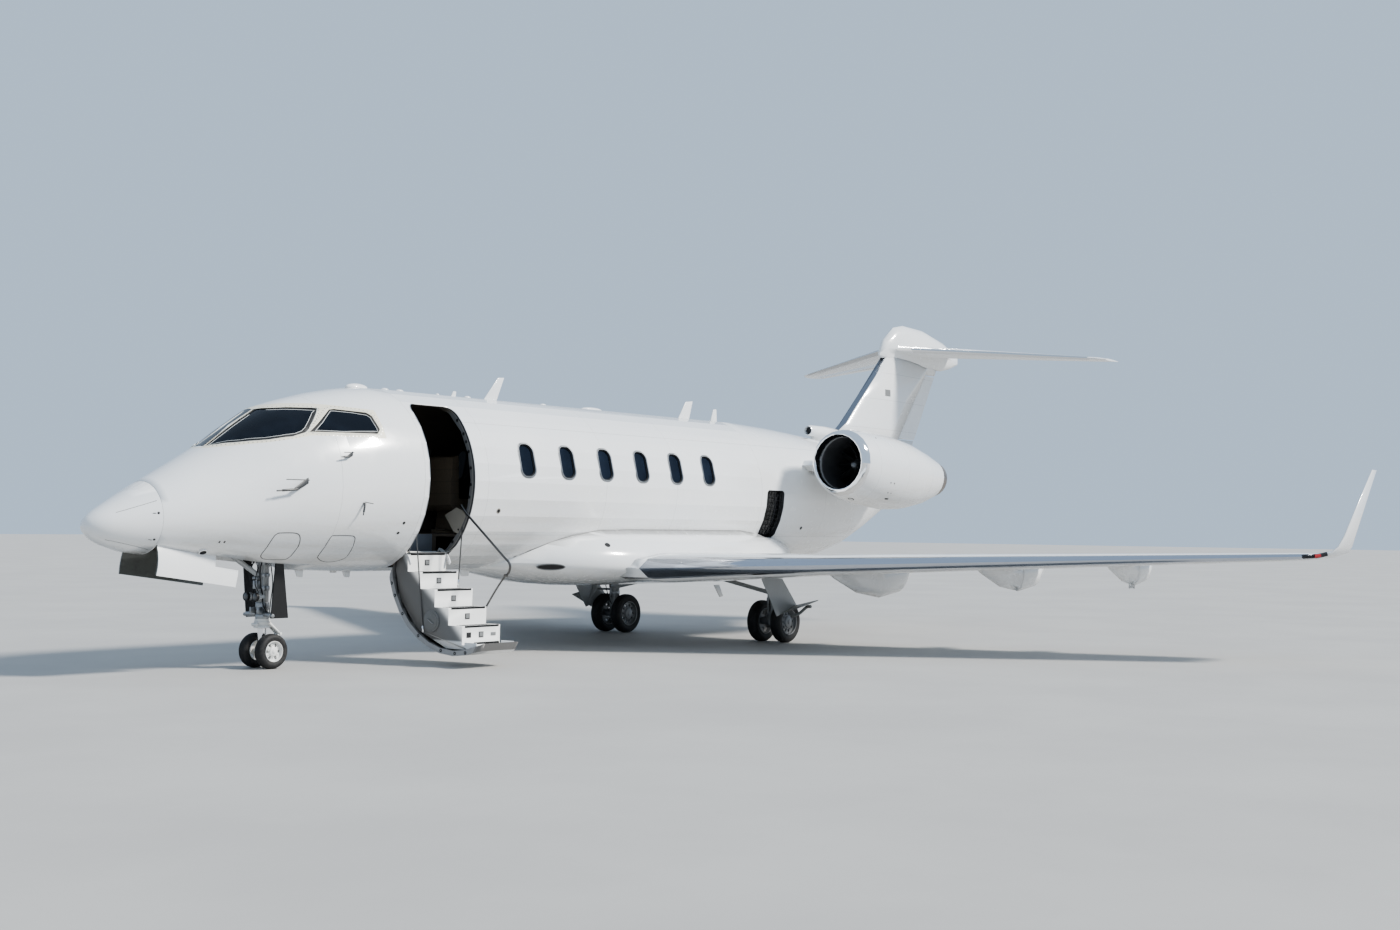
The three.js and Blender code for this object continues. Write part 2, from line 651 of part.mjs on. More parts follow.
function pivotFrame([span, height]) {
  const axes = surfaceAxes(WING_SECTIONS, FLAP_OUTBOARD);
  const flat = (outward, back) => axes.at(axes.front(span), outward, back - PIVOT.ahead);
  const at = (outward, back, up = 0) => [...flat(outward, back), height + up];
  const plate = (from, to, fore, back, low, high) => prism(
    [flat(from, fore), flat(to, fore), flat(to, back), flat(from, back)], "z", height + low, height + high,
  );
  return { at, plate };
}

function pivotTongue(pivot) {
  const { at } = pivotFrame(pivot);
  const boss = rod(at(-PIVOT.half, 0), at(PIVOT.half, 0), PIVOT.boss, 12);
  return join(boss, rod(at(0, 0), at(0, 190, 110), PIVOT.tongue, 8));
}

function pivotLugs(pivot) {
  const { plate } = pivotFrame(pivot);
  const [near, far] = [PIVOT.half + PIVOT.seat, PIVOT.lug];
  return join(plate(near, far, -26, 26, -22, 90), plate(-far, -near, -26, 26, -22, 90));
}

function pivotSlot(pivot) {
  const { plate } = pivotFrame(pivot);
  return plate(-PIVOT.half - PIVOT.seat, PIVOT.half + PIVOT.seat, -34, 90, -200, 48);
}

function wing() {
  const [fixed, ...split] = fairingSolids;
  const fairings = split.map((fairing) => cut(fairing, slabOf(outboardPlan(PIVOT.fairingGap))));
  const slotted = cut(join(wholeWing, fixed, ...fairings), ...FLAP_PIVOTS.map(pivotSlot));
  const open = cut(
    join(slotted, ...FLAP_PIVOTS.map(pivotLugs)),
    slabOf(leadingPlan(SEAM)),
    slabOf(outboardPlan(CLEAR)),
    surfaceTool(WING_SECTIONS, FLAP_INBOARD, CLEAR),
    surfaceTool(WING_SECTIONS, AILERON, CLEAR),
    loft(fairingRings(SEAM)),
    mainBay(),
  );
  const pins = [FLAP_INBOARD, AILERON].map((surface) => surfacePins(WING_SECTIONS, surface));
  return join(open, ...pins, jackPad(JACK_PAD));
}

// Flat pads under the wings and the nose, where a jack lifts
const JACK_PAD = { x: 11150, y: -2700, face: 1120, radius: 45, height: 90 };
const NOSE_PAD = { x: 3700, y: 0, face: 1212, radius: 45, height: 60 };
const jackPad = ({ x, y, face, radius, height }) => rod([x, y, face], [x, y, face + height], radius, 16);

function leadingEdge() {
  const strip = wholeWing.intersect(slabOf(leadingPlan()));
  return cut(strip, loft(fairingRings(SEAM)));
}

const aileron = () => wholeWing.intersect(surfaceTool(WING_SECTIONS, AILERON));
const flapInboard = () => wholeWing.intersect(surfaceTool(WING_SECTIONS, FLAP_INBOARD));

function flapOutboard() {
  const body = join(wholeWing, fairingSolids[1], fairingSolids[2]);
  return join(body.intersect(slabOf(outboardPlan())), ...FLAP_PIVOTS.map(pivotTongue));
}

function bellyFairing() {
  const body = cut(
    loft(fairingRings()),
    stretch(5800, 14600, HULL_SIDES, -SEAM),
  );
  return cut(body, mainBay(), mirrored(mainBay()), baggageHole);
}

// Main wheel wells, open below, beside the keel
const MAIN_BAY = { front: 11150, rear: 11900, inner: 260, outer: 1500, bottom: 700, top: 1180 };

function mainBay() {
  const { front, rear, inner, outer, bottom, top } = MAIN_BAY;
  return block(front, rear, -outer, -inner, bottom, top);
}

// Tail

function finRing([height, lead, chord, thickness]) {
  return aerofoil(thickness).map(([x, t]) => [lead + x * chord, t * chord, height]);
}

const wholeFin = loft(FIN_SECTIONS.map(finRing));
const bullet = loft(BULLET_SECTIONS.map((s) => hullRing(s, BULLET_SIDES)));
const wholeTailplane = loft([
  ...[...TAILPLANE_SECTIONS].reverse().map((s) => wingRing(s)),
  ...TAILPLANE_SECTIONS.slice(1).map((s) => wingRing(s).map(([x, y, z]) => [x, -y, z])),
]);

const finHalfDepth = (height) => {
  const [, lead, chord, thickness] = sectionAtHeight(height);
  const hinge = RUDDER.hingeLowX +
    ((RUDDER.hingeHighX - RUDDER.hingeLowX) * (height - RUDDER.low)) / (RUDDER.high - RUDDER.low);
  return halfThickness(thickness, (hinge - lead) / chord) * chord;
};

function sectionAtHeight(height) {
  const after = FIN_SECTIONS.findIndex((s) => s[0] >= height);
  const [a, b] = [FIN_SECTIONS[after - 1], FIN_SECTIONS[after]];
  const part = (height - a[0]) / (b[0] - a[0]);
  return a.map((v, i) => v + (b[i] - v) * part);
}

// The hinge leans, so the ends of the rudder rise and dip as it swings and have more room.
const RUDDER_ROOM = 30;
const rudderSlope = (RUDDER.hingeHighX - RUDDER.hingeLowX) / (RUDDER.high - RUDDER.low);

function rudderTool(grow = 0, room = 0) {
  const low = [RUDDER.hingeLowX - rudderSlope * room, 0, RUDDER.low - room];
  const high = [RUDDER.hingeHighX + rudderSlope * room, 0, RUDDER.high + room];
  const radii = [RUDDER.low, RUDDER.high].map((height) => finHalfDepth(height) + grow - 1);
  const nose = hingeBar(low, high, ...radii);
  const [half, end] = [400, 21000];
  const band = block(17000, end, -half, half, low[2], high[2]);
  const aft = prism([[low[0], low[2]], [end, low[2]], [end, high[2]], [high[0], high[2]]], "y", -half, half);
  return join(nose.intersect(band), aft);
}

function fin() {
  const open = cut(wholeFin, rudderTool(CLEAR, RUDDER_ROOM), stretch(14900, 19200, HULL_SIDES, -SEAM));
  // Pointed pins: the ends of the rudder tilt about their tips.
  const onHinge = (height) => [RUDDER.hingeLowX + rudderSlope * (height - RUDDER.low), 0, height];
  const pins = [[RUDDER.low, -1], [RUDDER.high, 1]].map(([end, way]) =>
    rod(onHinge(end + way * 60), onHinge(end + way * 0.8), 22, 8, 1));
  return join(open, ...pins);
}

const rudder = () => wholeFin.intersect(rudderTool());

function elevatorTool(grow = 0) {
  return surfaceTool(TAILPLANE_SECTIONS, ELEVATOR, grow);
}

function tailplane() {
  const cavity = elevatorTool(CLEAR);
  const pins = surfacePins(TAILPLANE_SECTIONS, ELEVATOR);
  const open = cut(join(wholeTailplane, bullet), cavity, mirrored(cavity), wholeFinGrown());
  return join(open, pins, mirrored(pins));
}

const SCOOP = { front: [15020, 0, 3746], rear: [16100, 0, 3736], mouth: 80, foot: 45 };

function airScoop() {
  const { front, rear, mouth } = SCOOP;
  const skin = [[0, 0], [mouth + 6, 0], [mouth + 26, 60], [mouth + 32, 500], [mouth, 1100], [0, 1300]];
  const outer = turning(skin, front, rear, 16);
  const stand = block(front[0] + 160, rear[0], -SCOOP.foot, SCOOP.foot, 3400, front[2]);
  const inner = turning([[0, -10], [mouth, -10], [mouth - 8, 240], [0, 280]], front, rear, 16);
  return cut(join(outer, stand), inner, stretch(14500, 17000, HULL_SIDES, -SEAM), wholeFinGrown());
}

// The fin with a seam round it, for what meets its foot.
function wholeFinGrown() {
  return loft(FIN_SECTIONS.map(([height, lead, chord, thickness]) =>
    finRing([height, lead - 2, chord + 4, thickness * 1.004])));
}

// Engines

const droop = (x) => NACELLE.z - Math.tan(THREE.MathUtils.degToRad(NACELLE.droop)) * (x - NACELLE.front);
const onAxis = (along) => {
  const x = NACELLE.front + along;
  return [x, -NACELLE.y, droop(x)];
};
const COWL_SIDES = 24;
const aboutAxis = (profile, sides = COWL_SIDES) => turning(profile, onAxis(0), onAxis(1000), sides);

// Cowl sections: distance aft of the lip, half width, height above the axis, depth below it
const COWL_SECTIONS = [
  [0, 502, 502, 502],
  [30, 538, 538, 538],
  [160, 576, 576, 588],
  [420, 604, 604, 645],
  [850, 622, 618, 700],
  [1400, 620, 612, 715],
  [2000, 575, 560, 665],
  [2650, 462, 442, 528],
  [3250, 318, 304, 330],
];
// Intake, fan case and jet pipe: radius and distance aft of the lip
const COWL_INNER = [[480, 0], [462, 50], [445, 300], [462, 760], [478, 1500], [465, 2100], [300, 3250]];
const FAN_CASE = 3; // the first of those behind the intake

const cowl = (grow = 0) => loft([
  ...COWL_SECTIONS.map(([along, half, above, below]) => {
    const [x, y, z] = onAxis(along);
    const ring = hullRing([x, half + grow, z + above + grow, z - below - grow, z], COWL_SIDES);
    return ring.map(([px, py, pz]) => [px, py + y, pz]);
  }),
]);

function nacelle() {
  // The axis leans, so the tool for the duct reaches past both ends of the cowl.
  const [lip, pipe] = [COWL_INNER[0][0], COWL_INNER[COWL_INNER.length - 1][0]];
  const [ahead, behind] = [-40, 3300];
  return cut(cowl(), aboutAxis([[0, ahead], [lip, ahead], ...COWL_INNER, [pipe, behind], [0, behind]]));
}

// The core with its exhaust cone, carried in the cowl by a ring of struts. Its profile starts
// behind the fan: radius and distance aft of the lip.
const CORE = {
  sides: 16,
  profile: [[60, 980], [200, 980], [260, 1300], [285, 2000], [240, 2600], [140, 3250], [40, 3480], [0, 3490]],
  struts: { count: 5, place: 1500, half: 180, thick: 22, reach: 560, start: 17 },
};
const FAN = { place: 700, rear: 810, blades: 12, root: 100, tip: 436, half: 75, thick: 9, pitch: 38 };
const SPINNER = [[0, -260], [80, -170], [150, 10], [150, 110], [0, 110]]; // about the fan's place

const around = (count, body, start, centre) => Array.from({ length: count }, (_, i) =>
  turned(body, (i * 360) / count + start, new THREE.Vector3(1, 0, 0), centre));

function engine() {
  const { count, place, half, thick, reach, start } = CORE.struts;
  const front = FAN.rear + SEAM;
  const core = aboutAxis([[0, front], [CORE.profile[0][0], front], ...CORE.profile], CORE.sides);
  const wall = COWL_INNER.slice(FAN_CASE).map(([radius, along]) => [radius - SEAM * 2, along]);
  const duct = aboutAxis([[0, wall[0][1] - 10], ...wall, [0, wall[wall.length - 1][1]]]);
  const [x, y, z] = onAxis(place);
  const blade = block(x - half, x + half, y - thick, y + thick, z, z + reach);
  return join(core, ...around(count, blade, start, [x, y, z]).map((strut) => strut.intersect(duct)));
}

function fan() {
  const { place, blades, root, tip, half, thick, pitch } = FAN;
  const spinner = aboutAxis(SPINNER.map(([radius, along]) => [radius, place + along]), CORE.sides);
  const [x, y, z] = onAxis(place + 40);
  const flat = block(x - half, x + half, y - thick, y + thick, z + root, z + tip);
  const blade = turned(flat, pitch, new THREE.Vector3(0, 0, 1), [x, y, z]);
  return join(spinner, ...around(blades, blade, 0, [x, y, z]));
}

const PYLON = { front: 13250, chord: 2900, z: 3000, fall: 90, thickness: 0.11 };

function pylon() {
  const { front, chord, z, fall, thickness } = PYLON;
  const at = (y) => aerofoil(thickness).map(([part, half]) => [
    front + part * chord, y, z - part * fall + half * chord,
  ]);
  const strut = loft([at(-700), at(-1900)]);
  return cut(strut, stretch(12800, 17200, HULL_SIDES, -SEAM), cowl(SEAM));
}

// Landing gear

const WHEEL_SIDES = 20;

// The sleeve between the hubs, as a part of the rim's radius
const SLEEVE = 0.3;
// Half a wheel's dish: radius as a part of the rim, and depth from the outer face
const DISH = [[0, 20], [0.42, 20], [0.5, 45], [1, 9]];
// Half a tyre's section: radius as a part of the tyre's, and depth as a part of its width
const TREAD_EDGE = [[0.88, 0], [1, 0.26]];

// A turned section, from half of it
const turnedBack = (half, width) => [
  ...half, ...[...half].reverse().map(([radius, along]) => [radius, width - along]),
];

// A wheel pair turns about one axle. The hubs are joined by the axle's sleeve.
function hubs({ x, radius, width, spacing, rim }, y) {
  const half = spacing / 2;
  const profile = turnedBack(DISH.map(([part, along]) => [part * rim, along]), width);
  const wheel = (side) => {
    const [near, far] = [y + side * (half - width / 2), y + side * (half + width / 2)];
    return turning(profile, [x, near, radius], [x, far, radius], WHEEL_SIDES);
  };
  const sleeve = rod([x, y - half, radius], [x, y + half, radius], rim * SLEEVE, 12);
  return join(wheel(-1), wheel(1), sleeve);
}

// A round hole for the sleeve between the hubs: its flats clear the sleeve by a seam.
const HOLE_SIDES = 24;
const axleHole = (x, y, { radius, rim }, reach) => rod(
  [x, y - reach, radius], [x, y + reach, radius],
  (rim * SLEEVE + SEAM) / Math.cos(Math.PI / HOLE_SIDES), HOLE_SIDES,
);

function tyre({ x, radius, width, spacing, rim }, y, side) {
  const middle = y + (side * spacing) / 2;
  const bead = [rim + SEAM, DISH[DISH.length - 1][1]];
  const edge = TREAD_EDGE.map(([part, along]) => [part * radius, along * width]);
  const profile = [...turnedBack([bead, ...edge], width), bead];
  return turning(profile, [x, middle - width / 2, radius], [x, middle + width / 2, radius], WHEEL_SIDES);
}

// Nose leg: the barrel, a trunnion across the bay, a drag brace to a bar ahead of it, and two lamps
const NOSE_LEG = { bottom: 640, radius: 78, trunnion: 1480, brace: { from: 1150, x: 1900, z: 1560 } };
const NOSE_LAMPS = { y: 95, z: 925, radius: 52, front: 190, rear: 110 };

const acrossBay = (x, z, radius) =>
  rod([x, -NOSE_BAY.half + SEAM, z], [x, NOSE_BAY.half - SEAM, z], radius, 10);

function noseGearLeg() {
  const x = NOSE_STRUT_X;
  const { bottom, radius, trunnion, brace } = NOSE_LEG;
  const barrel = rod([x, 0, bottom], [x, 0, NOSE_BAY.top - SEAM], radius, 16);
  const strut = rod([x, 0, brace.from], [brace.x, 0, brace.z], 34, 10);
  const bars = [acrossBay(x, trunnion, 45), acrossBay(brace.x, brace.z, 26)];
  const { y, z, front, rear } = NOSE_LAMPS;
  const carrier = block(x - 130, x - 70, -150, 150, z - 20, z + 20);
  const cans = [-y, y].map((side) => rod([x - front, side, z], [x - rear, side, z], NOSE_LAMPS.radius, 12));
  return join(barrel, strut, ...bars, carrier, ...cans);
}

// The turning part below the barrel: a collar, the piston, and the two links behind them
const COLLAR = { top: NOSE_LEG.bottom - SEAM, bottom: 520, radius: 95 };
const PISTON = { radius: 52, boss: 62 };
const FORK_LINKS = [
  [[60, 590], [250, 430], [262, 455], [75, 625]],
  [[30, 250], [250, 440], [262, 415], [40, 215]],
];

function noseFork() {
  const x = NOSE_STRUT_X;
  const axle = NOSE_WHEEL.radius;
  const collar = rod([x, 0, COLLAR.bottom], [x, 0, COLLAR.top], COLLAR.radius, 16);
  const piston = rod([x, 0, axle], [x, 0, COLLAR.bottom + 10], PISTON.radius, 12);
  const boss = rod([NOSE_WHEEL.x, -45, axle], [NOSE_WHEEL.x, 45, axle], PISTON.boss, 14);
  const links = FORK_LINKS.map((link) => prism(link.map(([along, z]) => [x + along, z]), "y", -35, 35));
  return cut(join(collar, piston, boss, ...links), axleHole(NOSE_WHEEL.x, 0, NOSE_WHEEL, 200));
}

// Main leg, ahead of the axle: the leg itself, the arm to the axle, a side brace to the keel, and
// a door plate outboard of the wheels on two stays
const MAIN_LEG = { ahead: 40, bottom: 470, top: 1300, radius: 85 };
const MAIN_ARM = [[-110, 560], [40, 560], [90, 300], [-60, 270]];
const MAIN_BRACE = { leg: 800, keel: 1150, radius: 36 };
const LEG_DOOR = {
  outline: [[10662, 1084], [11248, 1059], [11687, 598], [11105, 447]],
  face: 2087,
  thick: 12,
  stays: [[900, 11330], [760, 11420]],
};

function legDoor(x, y) {
  const { outline, face, thick, stays } = LEG_DOOR;
  const plate = prism(outline, "y", -face, thick - face);
  const arms = stays.map(([z, end]) => rod([x, y, z], [end, thick / 2 - face, z], 20, 8));
  return join(plate, ...arms);
}

function mainGearLeg() {
  const [x, y] = [MAIN_WHEEL.x, -MAIN_WHEEL.track / 2];
  const { ahead, bottom, top, radius } = MAIN_LEG;
  const leg = rod([x - ahead, y, bottom], [x - ahead, y, top], radius, 16);
  const arm = prism(MAIN_ARM.map(([along, z]) => [x + along, z]), "y", y - 60, y + 60);
  const brace = rod([x - ahead, y, MAIN_BRACE.leg], [x - ahead, 0, MAIN_BRACE.keel], MAIN_BRACE.radius, 10);
  const keel = block(x - 200, x + 200, -MAIN_BAY.inner - SEAM, 200, 900, 1300);
  const lowered = (section) => wingRing(section).map(([px, py, pz]) => [px, py, pz - SEAM]);
  const underWing = loft(WING_SECTIONS.slice(0, 4).map(lowered));
  const above = block(x - 300, x + 300, y - 300, y + 300, 1250, 1400);
  const whole = join(leg, arm, brace, legDoor(x - ahead, y));
  return cut(whole, axleHole(x, y, MAIN_WHEEL, 260), keel, underWing, above);
}

// Rear doors of the nose gear bay: fixed beside the leg while it is down. Seen from ahead, and
// then from the side.
const NOSE_LEG_DOOR = {
  section: [[0, 1345], [0, 1425], [17, 1425], [97.7, 650], [82.7, 650]],
  side: [[2500, 1430], [2600, 1430], [2770, 650], [2500, 650]],
};

function noseLegDoor() {
  const wall = -NOSE_BAY.half + SEAM;
  const section = NOSE_LEG_DOOR.section.map(([inward, z]) => [wall + inward, z]);
  const side = prism(NOSE_LEG_DOOR.side, "y", -NOSE_BAY.half, 0);
  return prism(section, "x", 2500, 2770).intersect(side);
}

// Airstair, drawn shut and then swung open about its hinge

const hingeLine = [DOOR.front, AIRSTAIR.hingeY, AIRSTAIR.hingeZ];
const swingOpen = (body) => turned(body, AIRSTAIR.open, new THREE.Vector3(1, 0, 0), hingeLine);

// The door's curved skin: its outline, and how far below the aircraft's skin it ends
const DOOR_SHELL = { skin: SKIN - 20, face: 25, edge: 70, sill: 90 };
const doorStretch = (inset) => (inset
  ? stretch(NOSE_END - 100, 5500, HULL_SIDES, inset)
  : stretch(NOSE_END, 5400, HULL_SIDES));

function airstairDoor() {
  const { skin, face, edge, sill } = DOOR_SHELL;
  const panel = prism(doorShape(CLEAR), "y", -1400, -380);
  const inner = roundedShape(DOOR.front + edge, DOOR.rear - edge, DOOR.sill + sill, DOOR.head - edge, 80);
  const hollow = cut(prism(inner, "y", -1400, -380), cut(doorStretch(0), doorStretch(face)));
  return swingOpen(cut(panel.intersect(cut(doorStretch(0), doorStretch(skin))), hollow));
}

// Treads with the stair down: y of the riser's face, height of the tread
const TREADS = [[-710, 1480], [-950, 1235], [-1245, 1010], [-1515, 775], [-1780, 545]];
const STAIR = { front: 4410, rear: 5070, head: -520, tread: 30, riser: 26, lastFoot: 320 };
const BOTTOM_PLATE = { outer: -2060, inner: -1770, low: 276, high: 300 };
// Under edge of the side plates, from the foot up to the hinge
const STRINGER_UNDER = [
  [-1780, 300], [-2060, 275], [-2060, 240], [-1500, 240],
  [-900, 480], [-560, 900], [-480, 1240], [-500, 1400],
];

function airstairSteps() {
  const { front, rear, head, tread, riser, lastFoot } = STAIR;
  const backOf = (i) => (i === 0 ? head : TREADS[i - 1][0]);
  const footOf = (i) => (i + 1 < TREADS.length ? TREADS[i + 1][1] : lastFoot) - tread;
  const steps = TREADS.flatMap(([y, z], i) => [
    block(front, rear, y, backOf(i), z - tread, z),
    block(front, rear, y, y + riser, footOf(i), z),
  ]);
  const side = [...TREADS.flatMap(([y, z], i) => [[backOf(i), z], [y, z]]), ...STRINGER_UNDER];
  const stringers = [[front - STRINGER, front], [rear, rear + STRINGER]].map(([from, to]) =>
    prism(side, "x", from, to));
  const { outer, inner, low, high } = BOTTOM_PLATE;
  const plate = block(front, rear, outer, inner, low, high);
  // The room that the door's skin takes up, less its hollow
  const region = prism([[-1500, 1400], [-500, 1400], [-500, 3700], [-1500, 3700]], "x", 4300, 5200);
  const outside = swingOpen(stretch(NOSE_END, 5400, HULL_SIDES, -50).intersect(region));
  const hollow = cut(doorInside(), block(4000, 5600, -380, 1300, 1000, 4000));
  const tube = stairHingeRod(front - STRINGER, rear + STRINGER, HINGE_PIN + 4, 12);
  return join(cut(join(...steps, ...stringers, plate), cut(outside, swingOpen(hollow))), tube);
}

const doorInside = () => stretch(NOSE_END, 5400, HULL_SIDES, DOOR_SHELL.skin + SEAM);

const HANDRAIL = { x: 5106, radius: 13, railRadius: 12 };
const rail = (points) => points.map(([y, z]) => [HANDRAIL.x, y, z]);

const POST_FOOT = [-1490, 757]; // y and z of the post's two pivots
const POST_TOP = [-1851, 1202];
const RAIL_LINE = [[-1900, 1392], [-1820, 1450], [-1500, 1705], [-1140, 1990], [-1040, 2080], [-980, 2150]];

function handrailPost() {
  const { x, radius } = HANDRAIL;
  const post = bentTube(rail([POST_FOOT, [-1655, 975], POST_TOP]), radius, 4);
  const pin = rod([STAIR.rear + STRINGER + 0.5, ...POST_FOOT], [x, ...POST_FOOT], radius, 10);
  const knuckle = rod([x - radius, ...POST_TOP], [x + radius, ...POST_TOP], 20, 12);
  return join(post, pin, knuckle);
}

function handrail() {
  const near = HANDRAIL.x + HANDRAIL.radius + SEAM;
  const far = near + HANDRAIL.railRadius * 2;
  const knuckle = rod([near, ...POST_TOP], [far, ...POST_TOP], 20, 12);
  const side = (near + far) / 2;
  const start = [[side, ...POST_TOP], [side, -1898, 1252], [HANDRAIL.x + 10, -1928, 1330]];
  return join(knuckle, bentTube([...start, ...rail(RAIL_LINE)], HANDRAIL.railRadius - 1.5, 14));
}

// Nose gear doors, forward pair, drawn shut and then swung down

const FRONT_DOOR = { front: 766, rear: 1930, open: -80, skin: 24 };
const FRONT_HINGE = [[FRONT_DOOR.front, 1585], [1590, 1462]].map(([x, z]) =>
  new THREE.Vector3(x, -NOSE_BAY.half, z));

function noseGearDoor() {
  const [front, rear] = FRONT_HINGE;
  const skin = cut(
    stretch(RADOME_END + SEAM, 2400, HULL_SIDES),
    stretch(RADOME_END - 100, 2500, HULL_SIDES, FRONT_DOOR.skin),
  );
  const outline = block(FRONT_DOOR.front, FRONT_DOOR.rear, -NOSE_BAY.half + CLEAR, -CLEAR / 2, 1000, 1700);
  // Behind its hinge the door is narrower.
  const corner = block(rear.x, FRONT_DOOR.rear + 1, -NOSE_BAY.half, -215, 1000, 1700);
  const panel = cut(skin.intersect(outline), corner);
  return turned(panel, FRONT_DOOR.open, rear.clone().sub(front).normalize(), front.toArray());
}

// Assembly

const paint = (color, roughness, metalness = 0) =>
  new THREE.MeshStandardMaterial({ color, roughness, metalness });
const MATERIALS = {
  paint: paint(0xf2f2f0, 0.25),
  polished: paint(0xc8cacc, 0.15, 1),
  glass: paint(0x1c242a, 0.05),
  dark: paint(0x18191b, 0.6),
  seat: paint(0xb9ab93, 0.7),
  tyre: paint(0x141414, 0.9),
  rim: paint(0xb9bcbd, 0.4, 0.6),
  steel: paint(0x8f9396, 0.35, 0.8),
  step: paint(0xa7abad, 0.5, 0.3),
};

const aircraft = new THREE.Group();
function add(name, body, material) {
  const mesh = new THREE.Mesh(geometryOf(body), MATERIALS[material]);
  mesh.name = name;
  aircraft.add(mesh);
}

function addPair(name, body, material) {
  add(name + "_left", body, material);
  add(name + "_right", mirrored(body), material);
}

add("radome", radome(), "paint");
add("nose_section", noseSection(), "paint");
add("cabin_section", cabinSection(), "paint");
add("aft_section", aftSection(), "paint");
add("tail_cone", tailCone(), "paint");
add("belly_fairing", bellyFairing(), "paint");
add("cabin_floor", cabinFloor(), "dark");
add("instrument_panel", instrumentPanel(), "dark");
add("pilot_seats", seatRow(PILOT_SEATS), "seat");
add("cabin_seats", seatRow(CABIN_SEATS), "seat");
addPair("windscreen", windscreenPane(), "glass");
addPair("side_window", sideWindowPane(), "glass");
addPair("wing", wing(), "paint");
addPair("leading_edge", leadingEdge(), "polished");
addPair("aileron", aileron(), "paint");
addPair("flap_inboard", flapInboard(), "paint");
addPair("flap_outboard", flapOutboard(), "paint");
addPair("nacelle", nacelle(), "paint");
addPair("engine", engine(), "steel");
addPair("fan", fan(), "steel");
addPair("pylon", pylon(), "paint");
add("fin", fin(), "paint");
add("rudder", rudder(), "paint");
add("tailplane", tailplane(), "paint");
addPair("elevator", wholeTailplane.intersect(elevatorTool()), "paint");
add("air_scoop", airScoop(), "paint");
add("nose_gear_leg", noseGearLeg(), "steel");
add("nose_fork", noseFork(), "steel");
add("nose_wheel_hubs", hubs(NOSE_WHEEL, 0), "rim");
add("nose_tyre_left", tyre(NOSE_WHEEL, 0, -1), "tyre");
add("nose_tyre_right", tyre(NOSE_WHEEL, 0, 1), "tyre");
addPair("main_gear_leg", mainGearLeg(), "steel");
addPair("main_wheel_hubs", hubs(MAIN_WHEEL, -MAIN_WHEEL.track / 2), "rim");
addPair("main_tyre_outer", tyre(MAIN_WHEEL, -MAIN_WHEEL.track / 2, -1), "tyre");
addPair("main_tyre_inner", tyre(MAIN_WHEEL, -MAIN_WHEEL.track / 2, 1), "tyre");
addPair("nose_gear_door", noseGearDoor(), "paint");
addPair("nose_leg_door", noseLegDoor(), "dark");
add("airstair_door", airstairDoor(), "paint");
add("airstair_steps", airstairSteps(), "step");
add("handrail_post", handrailPost(), "steel");
add("handrail", handrail(), "steel");

aircraft.position.x = -LENGTH / 2;

export default aircraft;
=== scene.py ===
"""A business jet parked on its gear: finishes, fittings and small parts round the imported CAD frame."""

import json
import math

import bpy
from bpy.props import FloatProperty, FloatVectorProperty, IntProperty, PointerProperty
from mathutils import Matrix, Vector

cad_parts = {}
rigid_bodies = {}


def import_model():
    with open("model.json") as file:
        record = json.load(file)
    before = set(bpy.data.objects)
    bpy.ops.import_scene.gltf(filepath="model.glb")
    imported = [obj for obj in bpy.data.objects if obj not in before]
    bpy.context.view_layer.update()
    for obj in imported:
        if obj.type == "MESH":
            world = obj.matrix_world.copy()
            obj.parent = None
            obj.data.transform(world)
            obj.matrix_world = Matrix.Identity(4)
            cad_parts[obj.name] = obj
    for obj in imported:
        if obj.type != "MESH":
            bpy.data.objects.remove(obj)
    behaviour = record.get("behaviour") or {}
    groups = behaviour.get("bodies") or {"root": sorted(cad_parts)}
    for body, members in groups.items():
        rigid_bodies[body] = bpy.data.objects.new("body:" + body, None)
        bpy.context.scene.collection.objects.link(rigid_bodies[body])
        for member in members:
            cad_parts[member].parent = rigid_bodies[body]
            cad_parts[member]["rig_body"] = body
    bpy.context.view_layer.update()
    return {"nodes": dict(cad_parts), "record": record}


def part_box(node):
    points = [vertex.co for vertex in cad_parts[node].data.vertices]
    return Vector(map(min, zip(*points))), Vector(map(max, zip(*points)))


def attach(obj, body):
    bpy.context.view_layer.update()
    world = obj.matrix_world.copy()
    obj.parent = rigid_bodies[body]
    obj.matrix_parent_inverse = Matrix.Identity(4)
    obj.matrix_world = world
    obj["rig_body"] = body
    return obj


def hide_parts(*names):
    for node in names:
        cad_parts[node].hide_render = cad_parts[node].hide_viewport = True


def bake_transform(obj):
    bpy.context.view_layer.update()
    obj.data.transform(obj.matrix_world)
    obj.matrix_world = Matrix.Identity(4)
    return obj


bl_info = {
    "name": "Business jet workshop",
    "version": (1, 0, 0),
    "blender": (4, 5, 0),
    "location": "3D View > Sidebar > Jet",
    "description": "Makes the finishes, windows and fittings of a business jet on its CAD frame",
    "category": "Object",
}

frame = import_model()

NOSE_STATION = -10.46  # where the tip of the nose lies on X
NOSE_JOIN = 4.24  # station where the nose section meets the cabin section
AFT_JOIN = 11.9  # station where the cabin section meets the aft section
CLEAR = 4.0  # a distance from the middle plane that is outside the fuselage
WELD = 0.00001  # points closer than this are one, on a round tube


def at(station, y, z):
    """A point given by its station, in metres aft of the nose."""
    return Vector((station + NOSE_STATION, y, z))


SIDES = (("left", -1), ("right", 1))


# Handling of objects


def leave_edit():
    if bpy.context.object and bpy.context.object.mode != "OBJECT":
        bpy.ops.object.mode_set(mode="OBJECT")


def alone(piece):
    """Selects one object and nothing else."""
    leave_edit()
    bpy.ops.object.select_all(action="DESELECT")
    piece.select_set(True)
    bpy.context.view_layer.objects.active = piece


def edit_all(piece):
    alone(piece)
    bpy.ops.object.mode_set(mode="EDIT")
    bpy.ops.mesh.select_all(action="SELECT")


